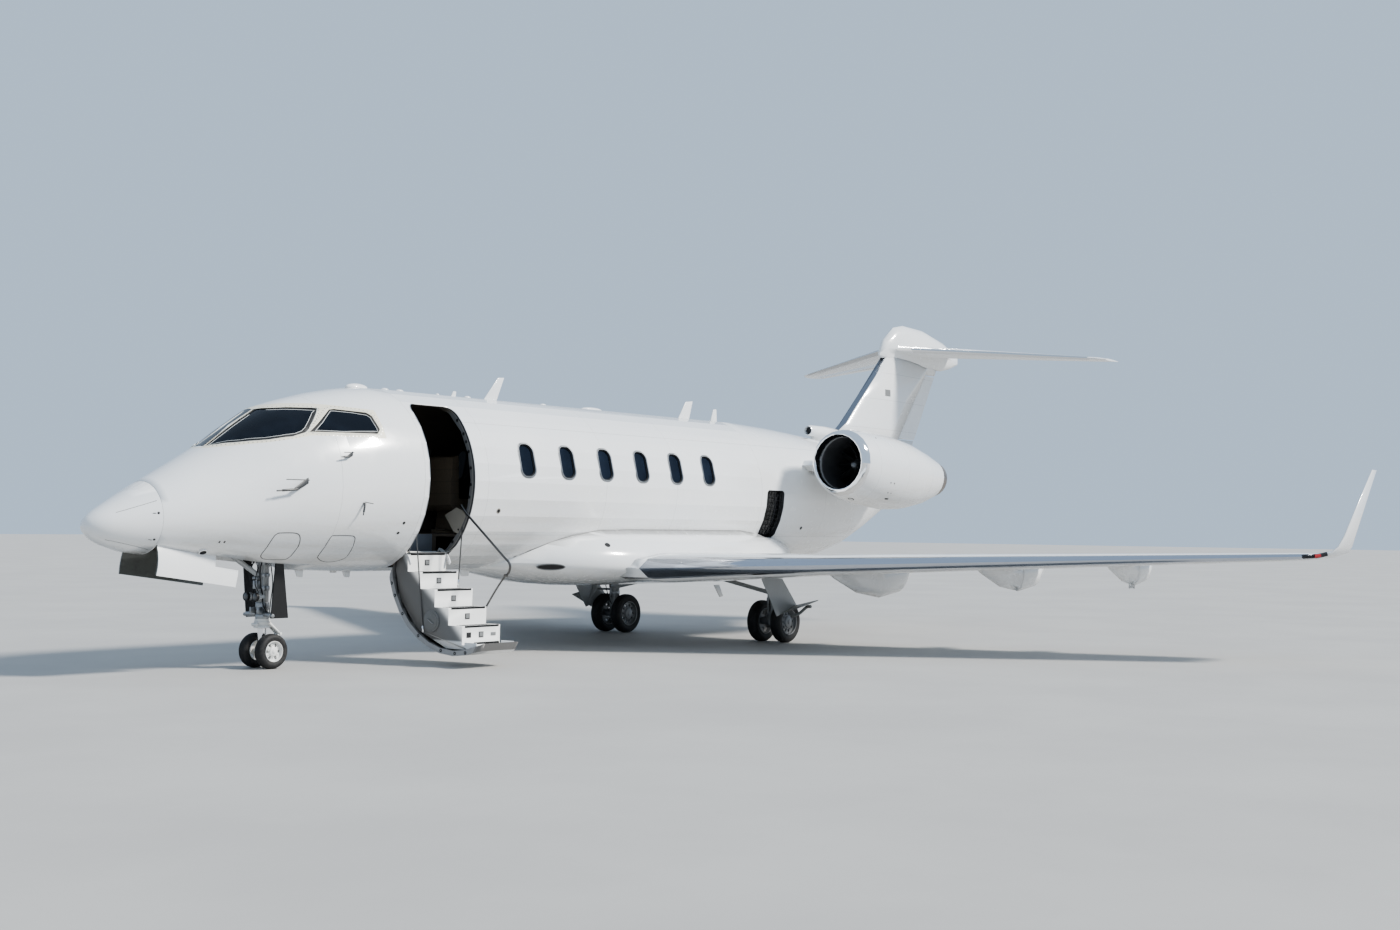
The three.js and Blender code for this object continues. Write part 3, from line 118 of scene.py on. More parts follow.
def outward(piece, weld=None):
    """Closes a piece's seams, turns its faces outward and leaves edit mode."""
    edit_all(piece)
    if weld:
        bpy.ops.mesh.remove_doubles(threshold=weld)
    bpy.ops.mesh.normals_make_consistent(inside=False)
    leave_edit()
    return piece


def modify(piece, kind, **settings):
    """Adds a modifier and applies it."""
    alone(piece)
    bpy.ops.object.modifier_add(type=kind)
    modifier = piece.modifiers[-1]
    for name, value in settings.items():
        setattr(modifier, name, value)
    bpy.ops.object.modifier_apply(modifier=modifier.name)
    return piece


def place_into_mesh(piece):
    alone(piece)
    bpy.ops.object.transform_apply(location=True, rotation=True, scale=True)
    return piece


def trail(points, closed=False):
    """A row of edges through the points: one vertex, extruded from point to point."""
    leave_edit()
    bpy.ops.object.select_all(action="DESELECT")
    bpy.ops.mesh.primitive_plane_add(size=0.01, location=(0, 0, 0))
    piece = bpy.context.object
    bpy.ops.object.mode_set(mode="EDIT")
    bpy.ops.mesh.select_mode(type="VERT")
    bpy.ops.mesh.merge(type="CENTER")
    points = [Vector(p) for p in points]
    bpy.ops.transform.translate(value=points[0])
    for a, b in zip(points, points[1:]):
        bpy.ops.mesh.extrude_vertices_move(TRANSFORM_OT_translate={"value": b - a})
    if closed:
        bpy.ops.mesh.select_all(action="DESELECT")
        bpy.ops.object.mode_set(mode="OBJECT")
        piece.data.vertices[0].select = True
        piece.data.vertices[len(points) - 1].select = True
        bpy.ops.object.mode_set(mode="EDIT")
        bpy.ops.mesh.edge_face_add()
    leave_edit()
    return piece


def slab(outline, depth):
    """A plate: the outline filled, then extruded by the vector depth."""
    piece = trail(outline, closed=True)
    edit_all(piece)
    bpy.ops.mesh.edge_face_add()
    bpy.ops.mesh.extrude_region_move(TRANSFORM_OT_translate={"value": Vector(depth)})
    return outward(piece)


def spun(profile, start, axis, steps=32, closed=False):
    """A turned form: profile holds radius and distance along the axis from start."""
    start = Vector(start)
    axis = Vector(axis).normalized()
    out = axis.orthogonal().normalized()
    piece = trail([start + out * r + axis * d for r, d in profile], closed=closed)
    edit_all(piece)
    bpy.ops.mesh.spin(steps=steps, angle=math.tau, center=start, axis=axis)
    return outward(piece, 2 * WELD)


def thickened(piece, radius, rounds):
    """Gives a row of edges a round section, with its ends closed."""
    alone(piece)
    bpy.ops.object.convert(target="CURVE")
    curve = bpy.context.object
    curve.data.bevel_depth = radius
    curve.data.bevel_resolution = rounds
    curve.data.use_fill_caps = True
    bpy.ops.object.convert(target="MESH")
    return outward(bpy.context.object, WELD)


def pipe(points, radius, closed=False, rounds=2):
    """A round tube along the points."""
    return thickened(trail(points, closed=closed), radius, rounds)


def bent(a, b, c, d, pieces):
    """Points from b toward c on a smooth line, bent by the points before and after."""
    line = []
    for k in range(pieces):
        t = k / pieces
        line.append(0.5 * ((2 * b) + (c - a) * t + (2 * a - 5 * b + 4 * c - d) * t * t
                           + (3 * b - a - 3 * c + d) * t * t * t))
    return line


def arc_through(points, pieces=6):
    """More points on a smooth line through the given ones."""
    pts = [Vector(p) for p in points]
    full = [pts[0] * 2 - pts[1], *pts, pts[-1] * 2 - pts[-2]]
    line = []
    for a, b, c, d in zip(full, full[1:], full[2:], full[3:]):
        line += bent(a, b, c, d, pieces)
    return [*line, pts[-1]]


def loop_through(points, pieces=5):
    """A closed smooth line through the points, which may start anywhere on it."""
    pts = [Vector(p) for p in points]
    line = []
    for i in range(len(pts)):
        line += bent(*(pts[(i + k - 1) % len(pts)] for k in range(4)), pieces)
    return line


def laid_on(piece, target, offset):
    """Draws every point of a piece to the surface of target, or to a distance above it."""
    return modify(piece, "SHRINKWRAP", target=target, wrap_method="NEAREST_SURFACEPOINT",
                  wrap_mode="ABOVE_SURFACE", offset=offset)


def fitted_line(points, target, radius, sink=0.0, closed=False, rounds=2, step=0.06):
    """A thin line on the surface of target: cut up, drawn to the surface and given its width."""
    pts = [Vector(p) for p in points]
    if closed:
        pts.append(pts[0])
    fine = [pts[0]]
    for a, b in zip(pts, pts[1:]):
        parts = max(1, math.ceil((b - a).length / step))
        fine += [a.lerp(b, (k + 1) / parts) for k in range(parts)]
    if closed:
        fine.pop()
    return thickened(laid_on(trail(fine, closed=closed), target, -sink), radius, rounds)


def landing(target, start, way):
    """Where a line from start along way meets a piece, and the way the piece faces there."""
    leave_edit()
    bpy.context.view_layer.update()
    found, place, facing, _ = target.ray_cast(Vector(start), Vector(way).normalized())
    if not found:
        raise ValueError(f"no part of {target.name} lies along the line from {tuple(start)}")
    return place, facing


def beside(target, station, z, side=-1):
    """The point of a piece's skin at a station and a height, seen from one side."""
    return landing(target, at(station, side * CLEAR, z), (0, -side, 0))


def seated(piece, place, facing, along=(1, 0, 0)):
    """Stands a small piece, drawn at the origin with Z outward and X along, on a surface."""
    out = Vector(facing).normalized()
    along = Vector(along)
    aft = (along - out * out.dot(along)).normalized()
    turn = Matrix((aft, out.cross(aft), out)).transposed().to_4x4()
    piece.matrix_world = Matrix.Translation(Vector(place)) @ turn
    return place_into_mesh(piece)


def drum(radius, low, high, sides=28, edge=0.0):
    """An upright cylinder at the origin between two heights."""
    leave_edit()
    bpy.ops.mesh.primitive_cylinder_add(
        vertices=sides, radius=radius, depth=high - low, location=(0, 0, (low + high) / 2))
    piece = place_into_mesh(bpy.context.object)
    if edge:
        modify(piece, "BEVEL", width=edge, segments=2, limit_method="ANGLE")
    return piece


def rod_between(a, b, radius, sides=20, edge=0.0):
    """A cylinder from a to b."""
    a, b = Vector(a), Vector(b)
    piece = drum(radius, 0.0, (b - a).length, sides, edge)
    way = b - a
    return seated(piece, a, way, way.orthogonal())


def collar(station, y, z, half, radius):
    """A band round an upright leg."""
    return rod_between(at(station, y, z - half), at(station, y, z + half), radius, 32, 0.004)


def pin(station, z, half, radius, edge=0.003):
    """A rod across the aircraft's middle plane."""
    return rod_between(at(station, -half, z), at(station, half, z), radius, 20, edge)


def button(radius, low, high, sides, edge, place, way, along=(0, 1, 0)):
    """A round disc standing on a point, facing one way."""
    return seated(drum(radius, low, high, sides, edge), place, way, along)


def dome(length, width, height):
    """The upper half of a smooth bump, at the origin."""
    leave_edit()
    bpy.ops.mesh.primitive_uv_sphere_add(segments=28, ring_count=14, radius=0.5)
    piece = bpy.context.object
    piece.scale = (length, width, height * 2)
    return place_into_mesh(piece)


def brick(low, high, edge=0.0):
    """A box between two corners."""
    leave_edit()
    low, high = Vector(low), Vector(high)
    bpy.ops.mesh.primitive_cube_add(size=1, location=(low + high) / 2)
    piece = bpy.context.object
    piece.scale = high - low
    place_into_mesh(piece)
    if edge:
        modify(piece, "BEVEL", width=edge, segments=2)
    return piece


def patch(outline, thick, rings=2, reach=0.05):
    """A plate inside an outline, cut into rings so that it follows a curved wall."""
    piece = trail(outline, closed=True)
    edit_all(piece)
    bpy.ops.mesh.edge_face_add()
    bpy.ops.mesh.select_mode(type="FACE")
    bpy.ops.mesh.select_all(action="SELECT")
    for _ in range(rings):
        bpy.ops.mesh.inset(thickness=reach / (rings + 1))
    bpy.ops.mesh.poke()
    leave_edit()
    return modify(piece, "SOLIDIFY", thickness=thick, offset=0.0)


def rounded(u, v, half_u, half_v, corner, steps=7):
    """Points round a rounded oblong, in two measures."""
    points = []
    for k, (su, sv) in enumerate(((1, 1), (-1, 1), (-1, -1), (1, -1))):
        for i in range(steps):
            turn = math.pi / 2 * (k + i / (steps - 1))
            points.append((u + su * (half_u - corner) + corner * math.cos(turn),
                           v + sv * (half_v - corner) + corner * math.sin(turn)))
    return points


def cut_up(ring, longest):
    """A closed line in two measures, with more points on its long sides."""
    fine = []
    for (u0, v0), (u1, v1) in zip(ring, [*ring[1:], ring[0]]):
        parts = max(1, math.ceil(math.hypot(u1 - u0, v1 - v0) / longest))
        fine += [(u0 + (u1 - u0) * k / parts, v0 + (v1 - v0) * k / parts) for k in range(parts)]
    return fine


def joined(pieces):
    leave_edit()
    bpy.ops.object.select_all(action="DESELECT")
    for piece in pieces:
        piece.select_set(True)
    bpy.context.view_layer.objects.active = pieces[0]
    if len(pieces) > 1:
        bpy.ops.object.join()
    return bpy.context.object


def reflected(piece):
    """A copy of a piece on the other side of the aircraft."""
    alone(piece)
    bpy.ops.object.duplicate()
    copy = bpy.context.object
    for key in list(copy.keys()):
        del copy[key]
    copy.parent = None
    copy.matrix_world = Matrix.Diagonal((1, -1, 1, 1))
    return outward(place_into_mesh(copy))


def both_sides(pieces):
    """Pieces of the port side, joined, and their mirror image."""
    port = joined(pieces)
    return [port, reflected(port)]


def done(piece, name, look, body="airframe", angle=30.0, replaces=()):
    """Names a finished piece, or a list of parts joined, gives it a finish and sets it on its body."""
    if isinstance(piece, list):
        piece = joined(piece)
    place_into_mesh(piece)
    piece.name = name
    piece.data.name = name
    piece.data.materials.clear()
    piece.data.materials.append(finishes[look])
    alone(piece)
    bpy.ops.object.shade_smooth_by_angle(angle=math.radians(angle))
    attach(piece, body)
    if replaces:
        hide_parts(*replaces)
    return piece


BODY_OF_NODE = {
    node: body for body, nodes in frame["record"]["behaviour"]["bodies"].items() for node in nodes
}


def sheathed(node, look, angle=28.0, round_edges=0.0):
    """A merged, smoothly shaded copy of a CAD node, in its place."""
    leave_edit()
    bpy.ops.object.select_all(action="DESELECT")
    source = frame["nodes"][node]
    source.hide_viewport = False
    source.select_set(True)
    bpy.context.view_layer.objects.active = source
    bpy.ops.object.duplicate()
    copy = bpy.context.object
    for key in list(copy.keys()):
        del copy[key]
    copy.parent = None
    copy.matrix_world = Matrix.Identity(4)
    edit_all(copy)
    bpy.ops.mesh.remove_doubles(threshold=4 * WELD)
    bpy.ops.mesh.dissolve_degenerate(threshold=4 * WELD)
    leave_edit()
    if round_edges:
        modify(copy, "BEVEL", width=round_edges, segments=2, limit_method="ANGLE",
               angle_limit=math.radians(40), use_clamp_overlap=True)
    return done(copy, node + "_skin", look, BODY_OF_NODE[node], angle, (node,))


# Materials


def arithmetic(operation, swapped=False):
    """A method that adds one Math node for a Python operator."""
    def work(self, other):
        pair = (other, self) if swapped else (self, other)
        return self.finish.maths(operation, *pair)
    return work


class Wire:
    """A value inside a material. Python's arithmetic on it adds Math nodes."""

    def __init__(self, finish, socket):
        self.finish = finish
        self.socket = socket

    __add__ = arithmetic("ADD")
    __radd__ = arithmetic("ADD", True)
    __sub__ = arithmetic("SUBTRACT")
    __rsub__ = arithmetic("SUBTRACT", True)
    __mul__ = arithmetic("MULTIPLY")
    __rmul__ = arithmetic("MULTIPLY", True)
    __truediv__ = arithmetic("DIVIDE")
    either = arithmetic("MAXIMUM")
    both = arithmetic("MINIMUM")

    def __abs__(self):
        return self.finish.maths("ABSOLUTE", self)

    def step(self, low, high, first=0.0, last=1.0):
        """A soft step: first below low, last above high."""
        return self.finish.node(
            "ShaderNodeMapRange", {"interpolation_type": "SMOOTHSTEP"},
            {"Value": self, "From Min": low, "From Max": high, "To Min": first, "To Max": last},
        )

    def near(self, centre, half, soft):
        """One where the value lies within half of the centre, falling off over soft."""
        return abs(self - centre).step(half, half + soft, 1.0, 0.0)


class Finish:
    """A material and the few calls that build it."""

    def __init__(self, name):
        self.material = bpy.data.materials.new(name)
        self.material.use_nodes = True
        self.tree = self.material.node_tree
        self.tree.nodes.clear()
        self.place = None

    def node(self, kind, settings=None, sockets=None, out=0):
        """Adds one node, sets it, fills its sockets and returns an output, or all of them for out=None."""
        made = self.tree.nodes.new(kind)
        for name, value in (settings or {}).items():
            if name == "stops":
                self.fill_ramp(made.color_ramp, value)
            else:
                setattr(made, name, value)
        for name, value in (sockets or {}).items():
            socket = made.inputs[name]
            if isinstance(value, Wire):
                self.tree.links.new(value.socket, socket)
            else:
                socket.default_value = value
        if out is None:
            return [Wire(self, socket) for socket in made.outputs]
        return Wire(self, made.outputs[out])

    @staticmethod
    def fill_ramp(ramp, stops):
        while len(ramp.elements) > 1:
            ramp.elements.remove(ramp.elements[-1])
        for i, (position, colour) in enumerate(stops):
            element = ramp.elements[0] if i == 0 else ramp.elements.new(position)
            element.position = position
            element.color = (*colour, 1.0) if len(colour) == 3 else colour

    def maths(self, operation, a, b=None):
        sockets = {0: a}
        if b is not None:
            sockets[1] = b
        return self.node("ShaderNodeMath", {"operation": operation}, sockets)

    def point(self):
        """Object coordinates, as one vector."""
        if self.place is None:
            self.place = self.node("ShaderNodeTexCoord", out=3)
        return self.place

    def facing(self):
        """The surface's own direction, in the object's frame, as x, y and z."""
        normal = self.node("ShaderNodeTexCoord", out=1)
        return self.node("ShaderNodeSeparateXYZ", None, {0: normal}, out=None)

    def xyz(self):
        return self.node("ShaderNodeSeparateXYZ", None, {0: self.point()}, out=None)

    def distance(self, normal, offset):
        """Signed distance from a plane."""
        dot = self.node("ShaderNodeVectorMath", {"operation": "DOT_PRODUCT"},
                        {0: self.point(), 1: normal}, out=1)
        return dot - offset

    def stretched(self, scale):
        return self.node("ShaderNodeVectorMath", {"operation": "MULTIPLY"}, {0: self.point(), 1: scale})

    def noise(self, scale, detail=3.0, rough=0.5, vector=None):
        return self.node(
            "ShaderNodeTexNoise", {"noise_dimensions": "3D"},
            {"Vector": vector or self.point(), "Scale": scale, "Detail": detail, "Roughness": rough},
        )

    def mix(self, factor, a, b, blend="MIX"):
        return self.node(
            "ShaderNodeMix", {"data_type": "RGBA", "blend_type": blend}, {0: factor, 6: a, 7: b}, out=2,
        )

    def bump(self, height, strength=0.3, depth=0.002, under=None):
        sockets = {"Strength": strength, "Distance": depth, "Height": height}
        if under is not None:
            sockets["Normal"] = under
        return self.node("ShaderNodeBump", None, sockets)

    def close(self, **sockets):
        """The shader and the output."""
        named = {key.replace("_", " "): value for key, value in sockets.items()}
        shader = self.node("ShaderNodeBsdfPrincipled", None, named)
        out = self.tree.nodes.new("ShaderNodeOutputMaterial")
        self.tree.links.new(shader.socket, out.inputs["Surface"])
        return self.material


def shade(r, g, b):
    return (r, g, b, 1.0)


WHITE = shade(0.83, 0.835, 0.83)
# A tan of dirt and painted warm shade, which the paint lays on faces that look down
DUST_AND_SHADE_TAN = shade(0.62, 0.585, 0.53)
SEAM_GREY = shade(0.42, 0.42, 0.41)
CREAM = shade(0.80, 0.755, 0.62)

# Lines between skins: direction and offset along it in metres. Directions need no unit length.
HULL_SEAMS = [(1, 0, 0, station + NOSE_STATION)
              for station in (0.742, 2.95, NOSE_JOIN, 5.42, 7.9, 9.6, AFT_JOIN, 13.9, 16.2, 18.9)]
WAIST_SEAMS = [(0, 0, 1, 3.30), (0, 0, 1, 1.74)]
WING_SEAMS = [(0, 1, 0, side * y) for side in (-1, 1) for y in (3.68, 4.3, 5.7, 7.66, 9.4)]
TAIL_SEAMS = [(0, 0, 1, z) for z in (3.9, 4.5, 5.05)]


def paint(name, seams=(), extra=None, dusty=0.5):
    """Gloss white paint over riveted skins, with fine seams, and below, in rain streaks, a tan that is
    partly dirt and partly painted warm shade.
    """
    f = Finish(name)
    nz = f.facing()[2]
    seam = None
    rivets = None
    for a, b, c, d in seams:
        away = abs(f.distance((a, b, c), d))
        line = away.step(0.0012, 0.0035, 1.0, 0.0)
        row = away.near(0.016, 0.0018, 0.0015)
        seam = line if seam is None else seam.either(line)
        rivets = row if rivets is None else rivets.either(row)
    cloud = f.noise(0.9, 4.0)
    fine = f.noise(7.0, 5.0, 0.6)
    streaks = f.noise(1.0, 4.0, 0.6, f.stretched((0.7, 6.0, 9.0)))
    # Faces that look down take the tan in streaks, partly dirt and partly painted shade; dusty sets how much
    below = nz.step(-0.95, 0.1, 1.0, 0.0)
    dust_and_shade = below * streaks.step(0.35, 0.75) * dusty
    base = f.mix(cloud.step(0.3, 0.7), WHITE, shade(0.80, 0.81, 0.815))
    base = f.mix(dust_and_shade, base, DUST_AND_SHADE_TAN)
    base = f.mix(fine.step(0.62, 0.8) * 0.10, base, DUST_AND_SHADE_TAN)
    height = f.noise(190.0, 1.0) * 0.06 + f.noise(2.2, 2.0) * 0.9
    roughness = 0.20 + fine.step(0.4, 0.8) * 0.10 + dust_and_shade * 0.35
    if seam is not None:
        dots = f.node("ShaderNodeTexVoronoi", {"feature": "F1"}, {"Vector": f.point(), "Scale": 34.0})
        heads = rivets * dots.step(0.16, 0.26, 1.0, 0.0)
        base = f.mix(seam * 0.75, base, SEAM_GREY)
        base = f.mix(heads * 0.35, base, SEAM_GREY)
        height = height - seam * 1.2 + heads * 0.5
    look = {"base": base, "rough": roughness, "height": height, "bare": 0.0}
    if extra:
        extra(f, look)
    normal = f.bump(look["height"], 0.22, 0.0025)
    return f.close(Base_Color=look["base"], Roughness=look["rough"], Metallic=look["bare"], Normal=normal,
                   Coat_Weight=0.7 - dust_and_shade * 0.6 - look["bare"] * 0.7, Coat_Roughness=0.06)


# The cream frame: stations of its front and rear, and the length and height that its outline is drawn over
SURROUND = {"front": 1.40, "length": 2.40, "rear": 3.685, "low": 2.79, "tall": 0.80}


def windscreen_surround(f, look):
    """The cream riveted frame round the cockpit windows."""
    x, _, z = f.xyz()
    share = (x - at(SURROUND["front"], 0, 0).x) / SURROUND["length"]
    lower = f.node("ShaderNodeValToRGB", {"stops": [
        (0.0, (0.0, 0.0, 0.0)), (0.055, (0.0, 0.0, 0.0)), (0.29, (0.107,) * 3), (0.44, (0.190,) * 3),
        (0.52, (0.245,) * 3), (0.62, (0.250,) * 3), (1.0, (0.253,) * 3)]}, {"Fac": share})
    upper = f.node("ShaderNodeValToRGB", {"stops": [
        (0.0, (0.02,) * 3), (0.056, (0.02,) * 3), (0.39, (0.735,) * 3), (0.50, (0.79,) * 3),
        (0.615, (0.80,) * 3), (0.70, (0.79,) * 3), (0.95, (0.735,) * 3), (1.0, (0.70,) * 3)]},
        {"Fac": share})
    inside = ((z - SURROUND["low"]) / SURROUND["tall"]).both(1.0)
    over = (inside - lower).step(0.0, 0.006)
    under = (upper - inside).step(0.0, 0.006)
    ahead = (at(SURROUND["rear"], 0, 0).x - x).step(0.0, 0.006)
    mask = over * under * ahead
    edge = mask * (1 - ahead.step(0.9, 1.0))
    spots = f.noise(26.0, 4.0, 0.7).step(0.5, 0.7)
    base = f.mix(mask, look["base"], f.mix(spots * 0.4, CREAM, shade(0.70, 0.66, 0.55)))
    look["base"] = f.mix(edge * 0.6, base, SEAM_GREY)
    look["rough"] = look["rough"] + mask * 0.22
    look["height"] = look["height"] + mask * 0.6


def lined(f, look):
    """Grey door frames where the skin is cut through, and painted shade on what faces the cabin: a dark
    brown with a weave.
    """
    x, y, z = f.xyz()
    _, ny, nz = f.facing()
    # The fuselage's middle line rises aft of the nose, then runs level
    middle = f.maths("MINIMUM", (x - NOSE_STATION) * 0.17 + 1.80, 2.52)
    rise = z - middle
    reach = f.maths("SQRT", rise * rise + y * y + 0.002)
    away = (ny * y + nz * rise) / reach
    edge = away.step(0.18, 0.26, 1.0, 0.0)
    # What faces the cabin is painted dark brown: painted shade for the dark inside of the cabin
    cabin_shade = away.step(-0.45, -0.30, 1.0, 0.0)
    weave = f.noise(140.0, 2.0)
    base = f.mix(edge, look["base"], shade(0.19, 0.19, 0.192))
    look["base"] = f.mix(cabin_shade, base, f.mix(weave * 0.4, shade(0.13, 0.118, 0.10),
                                             shade(0.09, 0.082, 0.07)))
    look["rough"] = look["rough"] + edge * 0.3


def lined_and_framed(f, look):
    lined(f, look)
    windscreen_surround(f, look)


# The engines' axes: station and height of the intake, distance from the middle, and fall
COWL = {"station": 12.95, "y": 2.03, "z": 3.03, "fall": math.radians(3.2)}
COWL_LENGTH = 3.25


def along_engine(f):
    """Distance aft of the intake's lip, and how far the surface faces away from the engine's axis."""
    x, y, z = f.xyz()
    _, ny, nz = f.facing()
    aft, down = math.cos(COWL["fall"]), math.sin(COWL["fall"])
    ahead = at(COWL["station"], 0, 0).x
    run = (x - ahead) * aft - (z - COWL["z"]) * down
    off_y = abs(y) - COWL["y"]
    off_z = (z - COWL["z"]) + run * down
    reach = f.maths("SQRT", off_y * off_y + off_z * off_z + 0.0001)
    away = (off_y * ny * f.maths("SIGN", y) + off_z * nz) / reach
    return run, away


def polished_lip(f, look):
    """Polished intake lip, painted shade in the duct behind it, and heat-stained metal round the jet pipe.
    """
    run, away = along_engine(f)
    inside = away.step(-0.35, -0.15, 1.0, 0.0)
    lip = run.step(0.150, 0.154, 1.0, 0.0)
    # Further in, the duct is painted near black: painted shade inside the intake
    duct_shade = inside * run.step(0.10, 0.22)
    pipe = run.step(COWL_LENGTH - 0.20, COWL_LENGTH - 0.195)
    smear = f.noise(3.0, 4.0, 0.6, f.stretched((0.6, 5.0, 5.0)))
    base = f.mix(lip, look["base"], shade(0.86, 0.87, 0.88))
    base = f.mix(duct_shade, base, f.mix(smear * 0.5, shade(0.055, 0.057, 0.060), shade(0.10, 0.10, 0.105)))
    look["base"] = f.mix(pipe, base, f.mix(smear, shade(0.36, 0.33, 0.30), shade(0.20, 0.17, 0.15)))
    look["bare"] = (lip * (1 - duct_shade)).either(pipe * 0.9)
    look["rough"] = look["rough"] * (1 - lip * 0.65) + duct_shade * 0.25 + pipe * 0.15


# The tailplane's leading edge: its station on the middle line, and its sweep
TAILPLANE_EDGE = {"station": 17.90, "sweep": (20.09 - 17.90) / 3.56, "width": 0.13,
                  "middle": 1.9, "tip": 3.40}


def bare_metal(f, look, bare, colour):
    """Turns the paint to polished metal where bare is one."""
    look["base"] = f.mix(bare, look["base"], colour)
    look["bare"] = bare
    look["rough"] = look["rough"] * (1 - bare * 0.4)


def polished_edge(f, look):
    """The tailplane's bare leading edge, short of its tips."""
    x, y, _ = f.xyz()
    edge = abs(y) * TAILPLANE_EDGE["sweep"] + at(TAILPLANE_EDGE["station"], 0, 0).x
    width, middle = TAILPLANE_EDGE["width"], TAILPLANE_EDGE["middle"]
    ahead = (x - edge).step(width, width + 0.003, 1.0, 0.0)
    bare = ahead * abs(y).near(middle, TAILPLANE_EDGE["tip"] - middle, 0.003)
    bare_metal(f, look, bare, shade(0.70, 0.71, 0.72))


def polished_fin(f, look):
    """The fin's bare leading edge."""
    nx, ny, _ = f.facing()
    bare = abs(ny).step(0.72, 0.80, 1.0, 0.0) * nx.step(-0.30, -0.25, 1.0, 0.0)
    bare_metal(f, look, bare, shade(0.30, 0.32, 0.36))


def door_faces(f, look):
    """Nose gear doors: white outside, dark grey inside."""
    ny = f.facing()[1]
    y = f.xyz()[1]
    outer = (ny * f.maths("SIGN", y)).step(0.30, 0.45)
    grime = f.noise(11.0, 5.0, 0.7).step(0.45, 0.75)
    inner = f.mix(grime * 0.5, shade(0.105, 0.11, 0.10), shade(0.05, 0.05, 0.047))
    look["base"] = f.mix(outer, inner, look["base"])
    look["rough"] = look["rough"] + (1 - outer) * 0.35


def metal(name, colour, rough, streak=(4.0, 4.0, 120.0), grime=0.3, dark=(0.10, 0.09, 0.08)):
    """Bare or plated metal with fine brushed streaks, and grime in patches."""
    f = Finish(name)
    lines = f.noise(1.0, 3.0, 0.6, f.stretched(streak))
    stain = f.noise(9.0, 5.0, 0.65).step(0.52, 0.75) * grime
    base = f.mix(lines * 0.25, shade(*colour), shade(*(c * 0.78 for c in colour)))
    base = f.mix(stain, base, shade(*dark))
    roughness = rough + lines * 0.10 + stain * 0.4
    return f.close(Base_Color=base, Metallic=1.0 - stain * 0.7, Roughness=roughness,
                   Normal=f.bump(lines + stain, 0.12, 0.0006))


def coated(name, colour, rough=0.5, worn=0.25, worn_colour=(0.45, 0.44, 0.42), grain=160.0, coat=0.0,
           metallic=0.0):
    """Painted or moulded surface: slight mottling, grain, and rubbed patches."""
    f = Finish(name)
    cloud = f.noise(5.0, 4.0)
    rubbed = f.noise(23.0, 6.0, 0.7).step(0.60, 0.78) * worn
    base = f.mix(cloud * 0.5, shade(*colour), shade(*(c * 0.82 for c in colour)))
    base = f.mix(rubbed, base, shade(*worn_colour))
    pits = f.noise(grain, 2.0)
    return f.close(Base_Color=base, Roughness=rough + cloud * 0.12 - rubbed * 0.15, Metallic=metallic,
                   Normal=f.bump(pits, 0.25, 0.0006), Coat_Weight=coat)


def rubber(name):
    """Black rubber with a dusty bloom."""
    f = Finish(name)
    bloom = f.noise(18.0, 5.0, 0.7).step(0.42, 0.75)
    scuff = f.noise(85.0, 3.0)
    base = f.mix(bloom * 0.55, shade(0.017, 0.017, 0.018), shade(0.075, 0.070, 0.064))
    return f.close(Base_Color=base, Roughness=0.62 + bloom * 0.22, Normal=f.bump(scuff, 0.35, 0.0008))


def dark_glass(name, colour, alpha):
    """Tinted pane: a faint bloom on the outside, and gloss."""
    f = Finish(name)
    film = f.noise(3.0, 4.0).step(0.45, 0.8)
    base = f.mix(film * 0.35, shade(*colour), shade(*(min(1.0, c * 2.2) for c in colour)))
    return f.close(Base_Color=base, Roughness=0.03 + film * 0.05, Alpha=alpha + film * 0.04, IOR=1.5,
                   Specular_IOR_Level=0.22)


def lamp_glass(name, colour, glow=0.0):
    """Lens with moulded flutes."""
    f = Finish(name)
    y = f.xyz()[1]
    flutes = f.maths("SINE", y * 900.0) * 0.5 + 0.5
    base = f.mix(flutes * 0.3, shade(*colour), shade(*(min(1.0, c + 0.15) for c in colour)))
    return f.close(Base_Color=base, Roughness=0.06, Normal=f.bump(flutes, 0.15, 0.0008),
                   Coat_Weight=0.6, Emission_Color=base, Emission_Strength=glow)


def leather(name, colour):
    """Seat leather: pebbled grain, creases and a row of stitches."""
    f = Finish(name)
    grain = f.node("ShaderNodeTexVoronoi", {"feature": "DISTANCE_TO_EDGE"},
                   {"Vector": f.point(), "Scale": 160.0})
    crease = f.noise(14.0, 5.0, 0.6, f.stretched((1.0, 3.0, 1.5)))
    row = f.maths("PINGPONG", f.xyz()[2], 0.09)
    channel = row.step(0.0, 0.006, 1.0, 0.0)
    base = f.mix(crease.step(0.4, 0.8) * 0.5, shade(*colour), shade(*(c * 0.7 for c in colour)))
    base = f.mix(channel * 0.5, base, shade(*(c * 0.5 for c in colour)))
    height = grain.step(0.0, 0.3) * 0.4 + crease * 0.6 - channel * 1.2
    return f.close(Base_Color=base, Roughness=0.42 + crease * 0.15, Normal=f.bump(height, 0.35, 0.0015))


def treads_and_risers(name):
    """White step boxes with black gritted treads on top."""
    f = Finish(name)
    nx, ny, nz = f.facing()
    z = f.xyz()[2]
    up = nz.step(0.80, 0.90) * z.step(0.33, 0.36)
    grit = f.noise(420.0, 2.0, 0.8)
    scuffs = f.noise(30.0, 5.0, 0.7).step(0.55, 0.75)
    white = f.mix(scuffs * 0.25, shade(0.78, 0.78, 0.76), shade(0.45, 0.43, 0.40))
    inside = ny.step(0.2, 0.5)
    side = abs(nx).step(0.7, 0.9)
    body = f.mix(side.either(inside) * z.step(0.33, 0.36), white, shade(0.19, 0.185, 0.178))
    black = f.mix(grit, shade(0.012, 0.012, 0.013), shade(0.05, 0.05, 0.05))
    base = f.mix(up, body, black)
    return f.close(Base_Color=base, Roughness=0.42 + up * 0.45,
                   Normal=f.bump(grit * up + scuffs * 0.2, 0.5, 0.0012))


